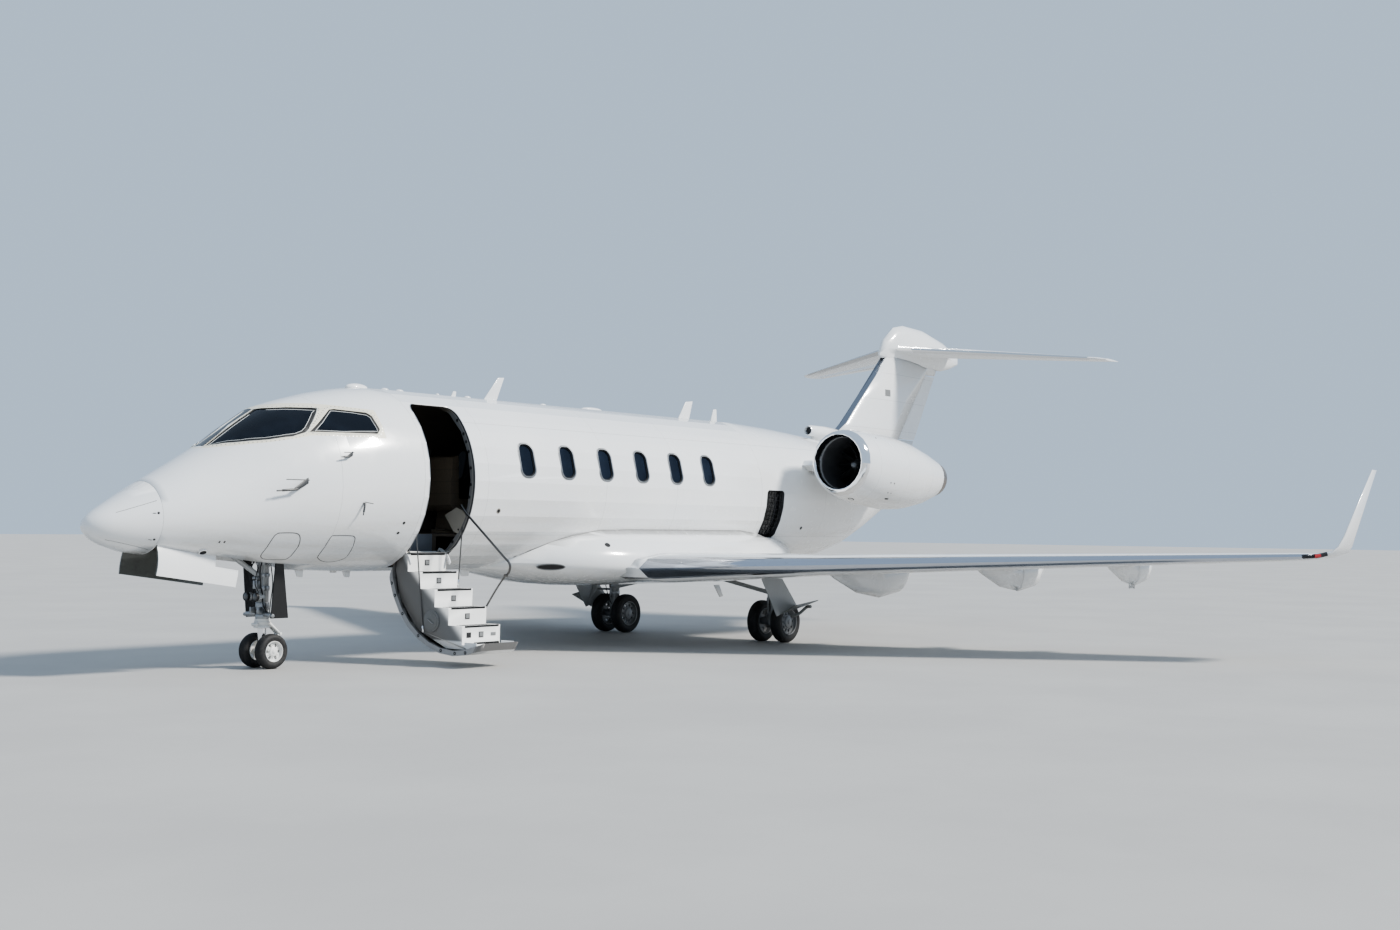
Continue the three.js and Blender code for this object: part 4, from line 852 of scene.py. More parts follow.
def stair_shell(name):
    """The stair's shell: white paint outside, grey primed frames inside, their grey darkened as painted
    shade.
    """
    f = Finish(name)
    nx, ny, nz = f.facing()
    cloud = f.noise(6.0, 4.0)
    rubbed = f.noise(26.0, 6.0, 0.7).step(0.58, 0.76)
    # The inside's grey primer is painted darker than it is: painted shade
    grey = f.mix(cloud * 0.6, shade(0.20, 0.195, 0.19), shade(0.16, 0.157, 0.152))
    grey = f.mix(rubbed * 0.2, grey, shade(0.4, 0.4, 0.39))
    grey = f.mix(abs(nx).step(0.7, 0.9), grey, shade(0.34, 0.34, 0.345))
    outer = (ny * 0.64 - nz * 0.77).step(0.25, 0.5)
    base = f.mix(outer, grey, f.mix(rubbed * 0.1, WHITE, DUST_AND_SHADE_TAN))
    return f.close(Base_Color=base, Roughness=0.42 - outer * 0.2, Normal=f.bump(cloud + rubbed, 0.2, 0.001),
                   Coat_Weight=outer * 0.6)


def screens(name):
    """Instrument panel: dark crackle finish with dark glossy glass displays."""
    f = Finish(name)
    _, y, z = f.xyz()
    crackle = f.noise(220.0, 3.0, 0.7)
    cell = f.maths("PINGPONG", y + 0.02, 0.19)
    glass = cell.near(0.095, 0.075, 0.002) * z.near(2.52, 0.10, 0.002)
    base = f.mix(glass, f.mix(crackle * 0.5, shade(0.05, 0.05, 0.055), shade(0.02, 0.02, 0.02)),
                 shade(0.01, 0.02, 0.035))
    return f.close(Base_Color=base, Roughness=0.65 - glass * 0.57,
                   Normal=f.bump(crackle * (1 - glass), 0.3, 0.0008))


def fan_metal(name):
    """Fan: dark metal with fine streaks across the blades."""
    f = Finish(name)
    streak = f.noise(1.0, 3.0, 0.6, f.stretched((60.0, 9.0, 9.0)))
    stain = f.noise(12.0, 4.0).step(0.4, 0.75)
    base = f.mix(streak * 0.6, shade(0.20, 0.21, 0.22), shade(0.09, 0.095, 0.10))
    return f.close(Base_Color=base, Metallic=0.85, Roughness=0.30 + stain * 0.15,
                   Normal=f.bump(streak, 0.1, 0.0008))


def concrete(name):
    """The pale studio floor."""
    f = Finish(name)
    cloud = f.noise(0.35, 5.0, 0.6)
    speck = f.noise(60.0, 3.0, 0.7)
    base = f.mix(cloud.step(0.3, 0.7), shade(0.47, 0.46, 0.44), shade(0.43, 0.42, 0.405))
    base = f.mix(speck.step(0.55, 0.8) * 0.15, base, shade(0.34, 0.33, 0.315))
    return f.close(Base_Color=base, Roughness=0.75, Normal=f.bump(speck, 0.1, 0.001))


finishes = {}


def mix_finishes():
    """Makes every material once."""
    finishes.update(
        hull=paint("hull_paint", HULL_SEAMS + WAIST_SEAMS, lined),
        nose=paint("nose_paint", HULL_SEAMS, lined_and_framed),
        radome=paint("radome_paint", [], None, 0.3),
        wing=paint("wing_paint", WING_SEAMS),
        tail=paint("tail_paint", TAIL_SEAMS, None, 0.3),
        tailplane=paint("tailplane_paint", [(0, 1, 0, y) for y in (-1.6, 1.6)], polished_edge, 0.2),
        gear_door=paint("gear_door_paint", [], door_faces, 0.2),
        cowl=paint("cowl_paint", [(1, 0, 0, s + NOSE_STATION) for s in (13.42, 14.35, 15.35)],
                   polished_lip),
        plain=paint("small_parts_paint", [], None, 0.3),
        polished=metal("polished_lip", (0.52, 0.55, 0.61), 0.07, (3.0, 1.2, 60.0), 0.05),
        steel=metal("leg_metal", (0.40, 0.41, 0.42), 0.36, (8.0, 8.0, 60.0), 0.5),
        chrome=metal("piston_chrome", (0.88, 0.88, 0.89), 0.08, (4.0, 4.0, 30.0), 0.05),
        # Dark metal for the handrail and the stair cables: painted reflection, a chrome tube's dark mirror
        # image of what is round it
        rail=metal("rail_tube", (0.17, 0.165, 0.16), 0.30, (9.0, 9.0, 60.0), 0.10),
        nozzle=metal("jet_pipe_metal", (0.42, 0.38, 0.34), 0.35, (30.0, 4.0, 4.0), 0.5, (0.08, 0.06, 0.05)),
        leg=coated("leg_paint", (0.47, 0.48, 0.48), 0.38, 0.45, (0.16, 0.15, 0.13), 200.0, 0.2),
        rim=coated("wheel_paint", (0.80, 0.80, 0.78), 0.35, 0.35, (0.20, 0.18, 0.16), 200.0, 0.3),
        # The main wheels' grey is darkened as painted shade, since they stand in the aircraft's shadow
        rim_main=coated("main_wheel_paint_and_shade", (0.26, 0.265, 0.27), 0.42, 0.5, (0.05, 0.048, 0.045), 200.0,
                        0.1, 0.4),
        sidewall=rubber("tyre_rubber"),
        seal=coated("seal_rubber", (0.012, 0.012, 0.013), 0.5, 0.15, (0.05, 0.05, 0.05), 300.0),
        sealant=coated("sealant_bead", (0.70, 0.71, 0.69), 0.5, 0.3, (0.4, 0.4, 0.38), 250.0),
        screen_glass=dark_glass("cockpit_glass", (0.008, 0.011, 0.017), 0.90),
        cabin_glass=dark_glass("cabin_glass", (0.008, 0.013, 0.024), 0.88),
        trim=coated("dark_trim", (0.045, 0.045, 0.048), 0.6, 0.2, (0.12, 0.12, 0.12), 180.0),
        carpet=coated("cabin_carpet", (0.10, 0.085, 0.07), 0.95, 0.3, (0.15, 0.13, 0.11), 500.0),
        seat=leather("seat_leather", (0.50, 0.42, 0.32)),
        panel=screens("instrument_crackle"),
        fan=fan_metal("fan_titanium"),
        steps=treads_and_risers("step_finish"),
        shell=stair_shell("stair_shell_finish"),
        black=coated("socket_black", (0.014, 0.014, 0.015), 0.45, 0.2, (0.09, 0.09, 0.09), 220.0),
        net=coated("cargo_net_webbing", (0.016, 0.016, 0.018), 0.85, 0.2, (0.05, 0.05, 0.05), 600.0),
        rim_bare=metal("window_rim_metal", (0.34, 0.345, 0.35), 0.3, (30.0, 30.0, 30.0), 0.15),
        grip=coated("grip_strip", (0.010, 0.010, 0.011), 0.9, 0.25, (0.07, 0.07, 0.07), 700.0),
        shell_grey=coated("stair_cover_grey", (0.20, 0.20, 0.195), 0.4, 0.35, (0.6, 0.6, 0.6), 180.0, 0.1),
        leg_door=coated("leg_door_paint", (0.30, 0.30, 0.285), 0.5, 0.4, (0.12, 0.11, 0.10), 90.0, 0.1),
        # Near-black metal for the probes: painted shadow, as the probes follow their shadows' shapes
        probe=metal("probe_metal", (0.13, 0.13, 0.13), 0.4, (20.0, 20.0, 20.0), 0.3),
        lamp_cover=dark_glass("lamp_cover_glass", (0.02, 0.02, 0.022), 0.75),
        plate=coated("bare_plate", (0.22, 0.225, 0.225), 0.4, 0.3, (0.4, 0.4, 0.4), 150.0),
        khaki=coated("khaki_panel", (0.36, 0.34, 0.30), 0.5, 0.3, (0.42, 0.40, 0.36), 150.0),
        blue_grey=coated("sill_panel", (0.17, 0.19, 0.22), 0.5, 0.25, (0.15, 0.15, 0.15), 260.0),
        dark_lens=lamp_glass("unlit_lens", (0.05, 0.055, 0.06), 0.02),
        sheet=coated("black_sheet", (0.012, 0.012, 0.013), 0.16, 0.1, (0.05, 0.05, 0.05), 30.0, 0.6),
        fin=paint("fin_paint", TAIL_SEAMS, polished_fin, 0.3),
        hose=coated("hydraulic_hose", (0.03, 0.03, 0.032), 0.55, 0.3, (0.12, 0.12, 0.12), 300.0),
        red=lamp_glass("port_lamp_lens", (0.55, 0.02, 0.02), 0.05),
        green=lamp_glass("starboard_lamp_lens", (0.02, 0.42, 0.12), 0.05),
        floor=concrete("studio_floor"),
    )


# What a user may change


class JetSizes(bpy.types.PropertyGroup):
    """Sizes of the fittings."""

    window_height: FloatProperty(
        name="Window height", description="Height of a cabin window's opening", default=0.462,
        unit="LENGTH")
    window_width: FloatProperty(
        name="Window width", description="Width of a cabin window's opening", default=0.28, unit="LENGTH")
    seal_width: FloatProperty(
        name="Seal width", description="Width of the black band on a cockpit pane", default=0.045,
        unit="LENGTH")
    cable_radius: FloatProperty(
        name="Stair cable radius", description="Radius of the stair's support cables", default=0.009,
        unit="LENGTH")
    net_pitch: FloatProperty(
        name="Net pitch", description="Distance between the cords of the baggage net", default=0.075,
        unit="LENGTH")
    spoke_holes: IntProperty(
        name="Wheel holes", description="Number of holes round each main wheel", default=10, min=6, max=16)


class JetStage(bpy.types.PropertyGroup):
    """Light and background of the stage."""

    backdrop: FloatVectorProperty(
        name="Backdrop", description="Colour of the air round the stage", subtype="COLOR", size=3,
        default=(0.47, 0.58, 0.72))
    sun_strength: FloatProperty(name="Key light", description="Strength of the key light", default=4.6,
                                min=0.0)
    fill_strength: FloatProperty(name="Fill light", description="Strength of the light all round",
                                 default=1.0, min=0.0)


class JET_OT_hull(bpy.types.Operator):
    """Sheathes the fuselage, its fairings and the tail in painted skin"""

    bl_idname = "jet.hull"
    bl_label = "Fuselage and tail"

    def execute(self, context):
        sheathed("radome", "radome")
        sheathed("nose_section", "nose")
        for node in ("cabin_section", "aft_section"):
            sheathed(node, "hull")
        for node in ("tail_cone", "belly_fairing", "air_scoop"):
            sheathed(node, "plain")
        sheathed("fin", "fin", 60)
        for node in ("rudder", "elevator_left", "elevator_right"):
            sheathed(node, "tail")
        sheathed("tailplane", "tailplane")
        return {"FINISHED"}


class JET_OT_wings(bpy.types.Operator):
    """Sheathes the wings, their flaps and ailerons, and the polished leading edges"""

    bl_idname = "jet.wings"
    bl_label = "Wings"

    def execute(self, context):
        for side, _ in SIDES:
            sheathed(f"wing_{side}", "wing", 45)
            sheathed(f"leading_edge_{side}", "polished", 80)
            for part in ("aileron", "flap_inboard", "flap_outboard"):
                sheathed(f"{part}_{side}", "wing", 45)
        return {"FINISHED"}


class JET_OT_engines(bpy.types.Operator):
    """Sheathes the nacelles, the pylons, the engines and their fans"""

    bl_idname = "jet.engines"
    bl_label = "Engines"

    def execute(self, context):
        for side, _ in SIDES:
            sheathed(f"nacelle_{side}", "cowl", 35)
            sheathed(f"pylon_{side}", "plain")
            sheathed(f"engine_{side}", "nozzle", 35)
            sheathed(f"fan_{side}", "fan", 35)
        return {"FINISHED"}


class JET_OT_interior(bpy.types.Operator):
    """Gives the cabin's floor, seats and instrument panel their finishes"""

    bl_idname = "jet.interior"
    bl_label = "Cabin and cockpit"

    def execute(self, context):
        sheathed("cabin_floor", "carpet")
        sheathed("instrument_panel", "panel")
        for node in ("pilot_seats", "cabin_seats"):
            sheathed(node, "seat", 30, 0.02)
        return {"FINISHED"}


class JET_OT_gear(bpy.types.Operator):
    """Sheathes the gear legs, the nose fork and the nose gear's doors"""

    bl_idname = "jet.gear"
    bl_label = "Landing gear"

    def execute(self, context):
        sheathed("nose_gear_leg", "leg", 35)
        sheathed("nose_fork", "rim", 35)
        for side, _ in SIDES:
            sheathed(f"main_gear_leg_{side}", "leg", 35)
            sheathed(f"nose_gear_door_{side}", "gear_door")
            # The leg doors are black: painted shade, as their outer sides lie in shadow
            sheathed(f"nose_leg_door_{side}", "black")
        return {"FINISHED"}


# The handrail's tube: y and z of its bends
RAIL_LINE = ((-1.900, 1.392), (-1.820, 1.450), (-1.500, 1.705), (-1.140, 1.990), (-1.040, 2.080),
             (-0.980, 2.150))


class JET_OT_stair(bpy.types.Operator):
    """Dresses the airstair and its handrail"""

    bl_idname = "jet.stair"
    bl_label = "Airstair"

    def execute(self, context):
        sheathed("airstair_door", "shell", 30)
        sheathed("airstair_steps", "steps", 30)
        sheathed("handrail_post", "rail", 40)
        line = [at(5.130, -1.851, 1.202), at(5.130, -1.898, 1.252), at(5.116, -1.928, 1.330)]
        line += [at(5.106, y, z) for y, z in RAIL_LINE]
        rail = pipe(arc_through(line, 4), 0.0165)
        knuckle = rod_between(at(5.120, -1.851, 1.202), at(5.142, -1.851, 1.202), 0.021, 24, 0.002)
        done([rail, knuckle], "handrail_tube", "rail", BODY_OF_NODE["handrail"], 40, ("handrail",))
        return {"FINISHED"}


class JET_OT_glass(bpy.types.Operator):
    """Glazes the cockpit"""

    bl_idname = "jet.glass"
    bl_label = "Cockpit windows"

    def execute(self, context):
        for side, _ in SIDES:
            sheathed(f"windscreen_{side}", "screen_glass")
            sheathed(f"side_window_{side}", "screen_glass")
        return {"FINISHED"}


# The fuselage's plain stretch: half width, height of its widest line, and reach above and below it
BARREL = {"half": 1.200, "waist": 2.485, "above": 1.260, "below": 1.259}


def on_barrel(station, z, side, sink=0.0):
    """A point on the plain stretch of the fuselage."""
    rise = z - BARREL["waist"]
    reach = BARREL["above"] if rise > 0 else BARREL["below"]
    return at(station, side * (BARREL["half"] * math.sqrt(1 - (rise / reach) ** 2) - sink), z)


WINDOWS = {"first": 6.215, "pitch": 0.845, "count": 6, "z": 2.807, "corner": 0.11}


class JET_OT_windows(bpy.types.Operator):
    """Makes the cabin windows: a bare metal rim, a dark inner lip and a tinted pane"""

    bl_idname = "jet.windows"
    bl_label = "Cabin windows"

    def execute(self, context):
        sizes = context.scene.jet_sizes
        half_u, half_v = sizes.window_width / 2, sizes.window_height / 2
        for name, side in SIDES:
            rims, lips, panes = [], [], []
            for i in range(WINDOWS["count"]):
                middle = WINDOWS["first"] + i * WINDOWS["pitch"]
                def line(grow, sink):
                    return [on_barrel(u, v, side, sink) for u, v in rounded(
                        middle, WINDOWS["z"], half_u + grow, half_v + grow, WINDOWS["corner"] + grow)]
                rims.append(pipe(line(0.007, 0.0), 0.011, closed=True))
                rims.append(pipe(line(0.021, -0.001), 0.004, closed=True, rounds=1))
                lips.append(pipe(line(-0.004, 0.022), 0.012, closed=True))
                panes.append(patch(line(0.004, 0.030), 0.006))
            done(rims, f"cabin_window_rims_{name}", "rim_bare")
            done(lips, f"cabin_window_seals_{name}", "seal")
            done(panes, f"cabin_window_panes_{name}", "cabin_glass")
        return {"FINISHED"}


# Edges of the port windscreen and of its side window: station, y and z of points round them
WINDSCREEN_EDGE = (
    (1.560, -0.082, 2.822), (1.640, -0.240, 2.845), (1.840, -0.455, 2.878), (2.090, -0.625, 2.911),
    (2.260, -0.705, 2.938), (2.460, -0.765, 2.979), (2.570, -0.772, 3.020), (2.646, -0.757, 3.078),
    (2.753, -0.700, 3.188), (2.860, -0.625, 3.290), (2.925, -0.560, 3.362), (2.790, -0.470, 3.366),
    (2.585, -0.350, 3.360), (2.400, -0.210, 3.342), (2.290, -0.082, 3.322), (1.900, -0.082, 3.080),
)
SIDE_EDGE = (
    (2.655, 3.036), (2.860, 3.196), (3.060, 3.346), (3.130, 3.358), (3.345, 3.350), (3.535, 3.331),
    (3.596, 3.287), (3.620, 3.110), (3.568, 3.054), (3.106, 3.041), (2.760, 3.032),
)


def skin_of(node):
    return bpy.data.objects[node + "_skin"]


def widened(points, by):
    """The points of a loop moved out from its middle."""
    pts = [Vector(p) for p in points]
    middle = sum(pts, Vector()) / len(pts)
    return [p + (p - middle).normalized() * by for p in pts]


def ribbon(first, second, target, closed=False, out=0.003):
    """A flat strip between two lines of as many points, laid on the surface of target."""
    piece = joined([trail(first, closed=closed), trail(second, closed=closed)])
    edit_all(piece)
    bpy.ops.mesh.bridge_edge_loops(number_cuts=1, interpolation="LINEAR", smoothness=0.0)
    leave_edit()
    return modify(laid_on(piece, target, out), "SOLIDIFY", thickness=0.003, offset=0.0)


def drawn_in(points, by, pane):
    """A closed line round a pane, moved toward the pane's middle, square to itself."""
    pts = [Vector(p) for p in points]
    middle = sum(pts, Vector()) / len(pts)
    facing = pane.closest_point_on_mesh(middle)[2]
    moved = []
    for before, p, after in zip([pts[-1], *pts], pts, [*pts[1:], pts[0]]):
        inward = (after - before).cross(facing).normalized()
        moved.append(p + inward * (by if inward.dot(middle - p) > 0 else -by))
    return moved


# Screws round a cockpit pane: distance from its edge, from one to the next, and the least distance
# from the middle plane
SCREWS = {"off": 0.030, "pitch": 0.055, "middle": 0.09}


class JET_OT_cockpit_trim(bpy.types.Operator):
    """Makes the black bands, the sealant beads and the screw heads round the cockpit windows"""

    bl_idname = "jet.cockpit_trim"
    bl_label = "Cockpit window seals"

    def execute(self, context):
        width = context.scene.jet_sizes.seal_width
        nose = skin_of("nose_section")
        side_edge = [beside(nose, u, v)[0] for u, v in widened_flat(SIDE_EDGE, 0.022)]
        edges = ((skin_of("windscreen_left"), [at(*p) for p in WINDSCREEN_EDGE]),
                 (skin_of("side_window_left"), side_edge))
        seals, beads, screws = [], [], []
        for pane, edge in edges:
            outer = loop_through(drawn_in(edge, 0.003, pane), 4)
            inner = loop_through(drawn_in(edge, width, pane), 4)
            seals.append(ribbon(outer, inner, pane, True))
            beads.append(fitted_line(drawn_in(edge, width + 0.006, pane), pane, 0.0045, closed=True,
                                     rounds=1))
            beads.append(fitted_line(drawn_in(edge, -0.004, pane), nose, 0.0035, closed=True, rounds=1))
            for place in spaced(drawn_in(edge, -SCREWS["off"], pane), SCREWS["pitch"]):
                found, spot, facing, _ = nose.closest_point_on_mesh(place)
                if found and abs(spot.y) > SCREWS["middle"]:
                    screws.append(seated(drum(0.0068, -0.002, 0.0016, 10), spot, facing))
        for pieces, name, look in ((seals, "cockpit_seals", "seal"), (beads, "cockpit_sealant", "sealant"),
                                   (screws, "cockpit_screws", "steel")):
            done(both_sides(pieces), name, look)
        # A black band down the middle post between the windscreens: painted shade on the frame metal
        post = []
        for y in (-0.080, 0.080):
            foot, head = at(1.56, y, 2.822), at(2.29, y, 3.322)
            post.append([foot.lerp(head, k / 12) for k in range(13)])
        done(ribbon(*post, nose, out=0.004), "cockpit_post_band", "sheet")
        return {"FINISHED"}


def widened_flat(points, by):
    """widened, for points in two measures."""
    grown = widened([(u, v, 0) for u, v in points], by)
    return [(p.x, p.y) for p in grown]


def spaced(loop, pitch):
    """Places at even steps round a closed line."""
    pts = [Vector(p) for p in loop]
    places = []
    carried = 0.0
    for a, b in zip(pts, [*pts[1:], pts[0]]):
        length = (b - a).length
        along = -carried
        while along + pitch <= length:
            along += pitch
            places.append(a.lerp(b, along / length))
        carried = length - along
    return places


# Doorway: stations of its jambs, heights of its sill and head, corner radius
DOORWAY = {"front": 4.33, "rear": 5.15, "sill": 1.49, "head": 3.51, "corner": 0.12}
# Latch sockets in the jambs: y and z
JAMB_SOCKETS = (
    (-0.845, 3.327), (-0.975, 3.136), (-1.030, 3.024), (-1.082, 2.887), (-1.130, 2.660), (-1.132, 2.431),
    (-1.105, 2.259), (-1.040, 2.060), (-0.905, 1.810), (-0.790, 1.640),
)


class JET_OT_doorway(bpy.types.Operator):
    """Makes the doorway's seal, its latch sockets, its frame lip and the entry's inner panels"""

    bl_idname = "jet.doorway"
    bl_label = "Doorway"

    def execute(self, context):
        middle = (DOORWAY["front"] + DOORWAY["rear"]) / 2
        half = (DOORWAY["rear"] - DOORWAY["front"]) / 2
        centre = (DOORWAY["sill"] + DOORWAY["head"]) / 2
        tall = (DOORWAY["head"] - DOORWAY["sill"]) / 2
        ring = rounded(middle, centre, half + 0.004, tall + 0.004, DOORWAY["corner"] + 0.004, 8)
        fine = cut_up(ring, 0.08)
        seal = pipe([on_barrel(u, v, -1, 0.020) for u, v in fine], 0.007, closed=True)
        inner = pipe([on_barrel(u, v, -1, 0.048) for u, v in fine], 0.006, closed=True)
        done(inner, "doorway_inner_seal", "khaki")
        done(seal, "doorway_seal", "seal")
        lip = pipe([on_barrel(u, v, -1, 0.004) for u, v in fine], 0.006, closed=True, rounds=1)
        done(lip, "doorway_lip", "rim_bare")
        sockets, cups = [], []
        for y, z in JAMB_SOCKETS:
            for station, way in ((DOORWAY["front"], 1), (DOORWAY["rear"], -1)):
                place = at(station, y + 0.02, z)
                sockets.append(button(0.023, -0.004, 0.003, 24, 0.001, place, (way, 0, 0)))
                cups.append(button(0.0145, -0.002, 0.0036, 20, 0.0, place, (way, 0, 0)))
        done(sockets, "doorway_socket_rings", "seal")
        done(cups, "doorway_sockets", "black")
        corner = ((-0.61, 2.008), (-0.837, 2.115), (-0.991, 2.063), (-1.03, 1.997), (-0.884, 1.758),
                  (-0.788, 1.783))
        panel = slab([at(5.1465, y, z) for y, z in corner], (0.010, 0, 0))
        done(panel, "doorway_corner_panel", "khaki")
        face, _ = landing(skin_of("cabin_floor"), at(middle, -2.0, 1.62), (0, 1, 0))
        riser = brick(at(DOORWAY["front"] + 0.02, face.y - 0.005, 1.50),
                      at(DOORWAY["rear"] - 0.02, face.y + 0.001, 1.742), 0.002)
        done(riser, "doorway_sill_riser", "blue_grey")
        return {"FINISHED"}


# Latch sockets along the stair's edge: their heights with the stair shut, and how the stair opens
STAIR_SOCKETS = (1.669, 1.814, 2.076, 2.498, 2.962, 3.199, 3.355)
STAIR_SWING = {"y": -0.500, "z": 1.485, "turn": math.radians(122.5), "edge": 4.337}
# Plates in the middle of the risers: y of the riser's face, and z of the plate's middle
RISERS = ((-0.711, 1.355), (-0.951, 1.115), (-1.246, 0.885), (-1.516, 0.655), (-1.781, 0.425))
TREAD_EDGES = ((-0.710, 1.480), (-0.950, 1.235), (-1.245, 1.010), (-1.515, 0.775), (-1.780, 0.545))
STAIR_SIDES = {"front": 4.410, "rear": 5.070, "stringer": 0.022}
BOTTOM_STEP = {"outer": -2.060, "inner": -1.785, "top": 0.300}
# The curved brackets beside the top step: y and z
BRACKET = ((-0.530, 1.500), (-0.556, 1.550), (-0.610, 1.540), (-0.685, 1.490), (-0.745, 1.440),
           (-0.790, 1.350))
# Grip strips across a tread: how many, from its edge to the first, from one to the next, and width
STRIPS = {"count": 3, "first": 0.045, "pitch": 0.055, "width": 0.022}


class JET_OT_stair_fittings(bpy.types.Operator):
    """Makes the stair's sockets, riser plates, tread strips, cover disc, cables and brackets"""

    bl_idname = "jet.stair_fittings"
    bl_label = "Airstair fittings"

    def execute(self, context):
        front, rear = STAIR_SIDES["front"], STAIR_SIDES["rear"]
        middle = (front + rear) / 2
        body = "airstair"
        rings, cups = [], []
        for high in STAIR_SOCKETS:
            shut = on_barrel(STAIR_SWING["edge"], high, -1, 0.044)
            y, z = shut.y - STAIR_SWING["y"], shut.z - STAIR_SWING["z"]
            turned = (y * math.cos(STAIR_SWING["turn"]) - z * math.sin(STAIR_SWING["turn"]),
                      y * math.sin(STAIR_SWING["turn"]) + z * math.cos(STAIR_SWING["turn"]))
            spot = Vector((shut.x, STAIR_SWING["y"] + turned[0], STAIR_SWING["z"] + turned[1]))
            rings.append(button(0.022, -0.004, 0.002, 24, 0.001, spot, (-1, 0, 0)))
            cups.append(button(0.0085, -0.002, 0.0026, 20, 0.0, spot, (-1, 0, 0)))
        done(rings, "stair_socket_rings", "black", body)
        done(cups, "stair_sockets", "steel", body)
        plates, marks = [], []
        for k, (y, z) in enumerate(RISERS):
            marks.append(self.riser_plate(at(middle, y, z), 0.042, 0.004, 0.038))
            plates.append(self.riser_plate(at(middle, y, z), 0.032, 0.006, 0.028))
            if k == len(RISERS) - 1:
                marks.append(self.riser_plate(at(middle - 0.225, y, z), 0.040, 0.004, 0.035))
                plates.append(self.riser_plate(at(middle + 0.225, y, z), 0.045, 0.004, 0.022))
        done(plates, "riser_plates", "plate", body)
        done(marks, "riser_marks", "black", body)
        # Each riser's top gets a black grip nosing, its black partly painted shade under the tread's edge
        strips, noses = [], []
        for y, z in TREAD_EDGES:
            noses.append(brick(at(front + 0.035, y - 0.005, z - 0.022),
                               at(rear - 0.005, y + 0.004, z + 0.001), 0.001))
            for k in range(STRIPS["count"]):
                along = y + STRIPS["first"] + k * STRIPS["pitch"]
                strips.append(brick(at(front + 0.05, along, z - 0.001),
                                    at(rear - 0.05, along + STRIPS["width"], z + 0.0022), 0.0008))
        # A black strip along the inner edge of the bottom plate, joined with the tread strips
        strips.append(brick(at(front + 0.20, -1.812, BOTTOM_STEP["top"] - 0.001),
                            at(rear - 0.02, -1.784, BOTTOM_STEP["top"] + 0.024), 0.002))
        done(strips, "tread_strips", "grip", body)
        done(noses, "tread_noses", "grip", body)
        disc_at = at(front - STAIR_SIDES["stringer"], -1.214, 0.590)
        disc = [button(*sizes, disc_at, (-1, 0, 0))
                for sizes in ((0.145, -0.002, 0.022, 48, 0.004), (0.118, 0.004, 0.028, 48, 0.003))]
        grip = ((-0.025, 0.050, 0.030), (-0.045, 0.038, 0.022), (-0.045, -0.038, -0.022),
                (-0.025, -0.050, -0.030))
        handle = pipe(arc_through([disc_at + Vector(p) for p in grip]), 0.006)
        for k in range(8):
            turn = math.tau * k / 8
            spot = disc_at + Vector((-0.022, 0.131 * math.cos(turn), 0.131 * math.sin(turn)))
            disc.append(button(0.006, -0.002, 0.003, 8, 0.0, spot, (-1, 0, 0)))
        done(disc, "stair_cover_disc", "shell_grey", body)
        done(handle, "stair_cover_handle", "steel", body)
        self.brackets(body, front, rear)
        self.cables(body, context.scene.jet_sizes.cable_radius)
        return {"FINISHED"}

    @staticmethod
    def riser_plate(spot, half_wide, proud, half_tall):
        """A thin plate on a riser's face."""
        return brick(spot - Vector((half_wide, proud, half_tall)),
                     spot + Vector((half_wide, 0.001, half_tall)), 0.001)

    def brackets(self, body, front, rear):
        """White curved brackets beside the top step, and the upstands at the ends of the bottom plate."""
        pieces = []
        for station in (front - 0.036, rear + 0.026):
            curve = arc_through([at(station, y, z) for y, z in BRACKET], 5)
            back = [p + Vector((0, 0.024, -0.030)) for p in reversed(curve)]
            pieces.append(slab([*curve, *back], (0.014, 0, 0)))
        for station in (front - 0.014, rear + 0.002):
            pieces.append(brick(at(station, BOTTOM_STEP["outer"] + 0.01, BOTTOM_STEP["top"] - 0.02),
                                at(station + 0.012, BOTTOM_STEP["inner"] - 0.04,
                                   BOTTOM_STEP["top"] + 0.035), 0.003))
        done(pieces, "stair_brackets", "plain", body)

    def cables(self, body, radius):
        """The two support cables, from the door frame to the stair's sides, with an end fitting on each."""
        runs = (
            ("front", at(4.334, -0.930, 1.766), at(4.380, -1.048, 0.446)),
            ("rear", at(5.146, -0.965, 1.820), at(5.100, -0.950, 1.047)),
        )
        for name, top, foot in runs:
            line = [top.lerp(foot, k / 24) for k in range(25)]
            cable = pipe(line, radius, rounds=2)
            done(cable, f"stair_cable_{name}", "rail", "airframe")
            free(cable)
            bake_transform(cable)
            way = (foot - top).normalized()
            lug = button(0.019, -0.006, 0.002, 24, 0.001, top, (1 if name == "front" else -1, 0, 0))
            done(lug, f"stair_cable_{name}_lug", "steel")
            socket = rod_between(foot + way * 0.004, foot - way * 0.075, radius * 1.7, 16, 0.002)
            eye = button(0.019, -0.006, 0.006, 24, 0.002, foot, (1, 0, 0))
            done([socket, eye], f"stair_cable_{name}_end", "chrome", body)


def free(piece):
    """Takes a piece off its body again, where it stays."""
    place = piece.matrix_world.copy()
    piece.parent = None
    piece.matrix_world = place
    if "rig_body" in piece:
        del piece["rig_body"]


# Wheels: station, radius, width of a tyre, distance between the pair, rim radius, and holes
NOSE_WHEELS = {"station": 2.586, "radius": 0.225, "width": 0.150, "spacing": 0.330, "rim": 0.135,
               "holes": 6, "hole": 0.155}
MAIN_WHEELS = {"station": 11.516, "radius": 0.340, "width": 0.190, "spacing": 0.466, "rim": 0.214,
               "holes": 10, "hole": 0.112}
MAIN_TRACK = 3.458
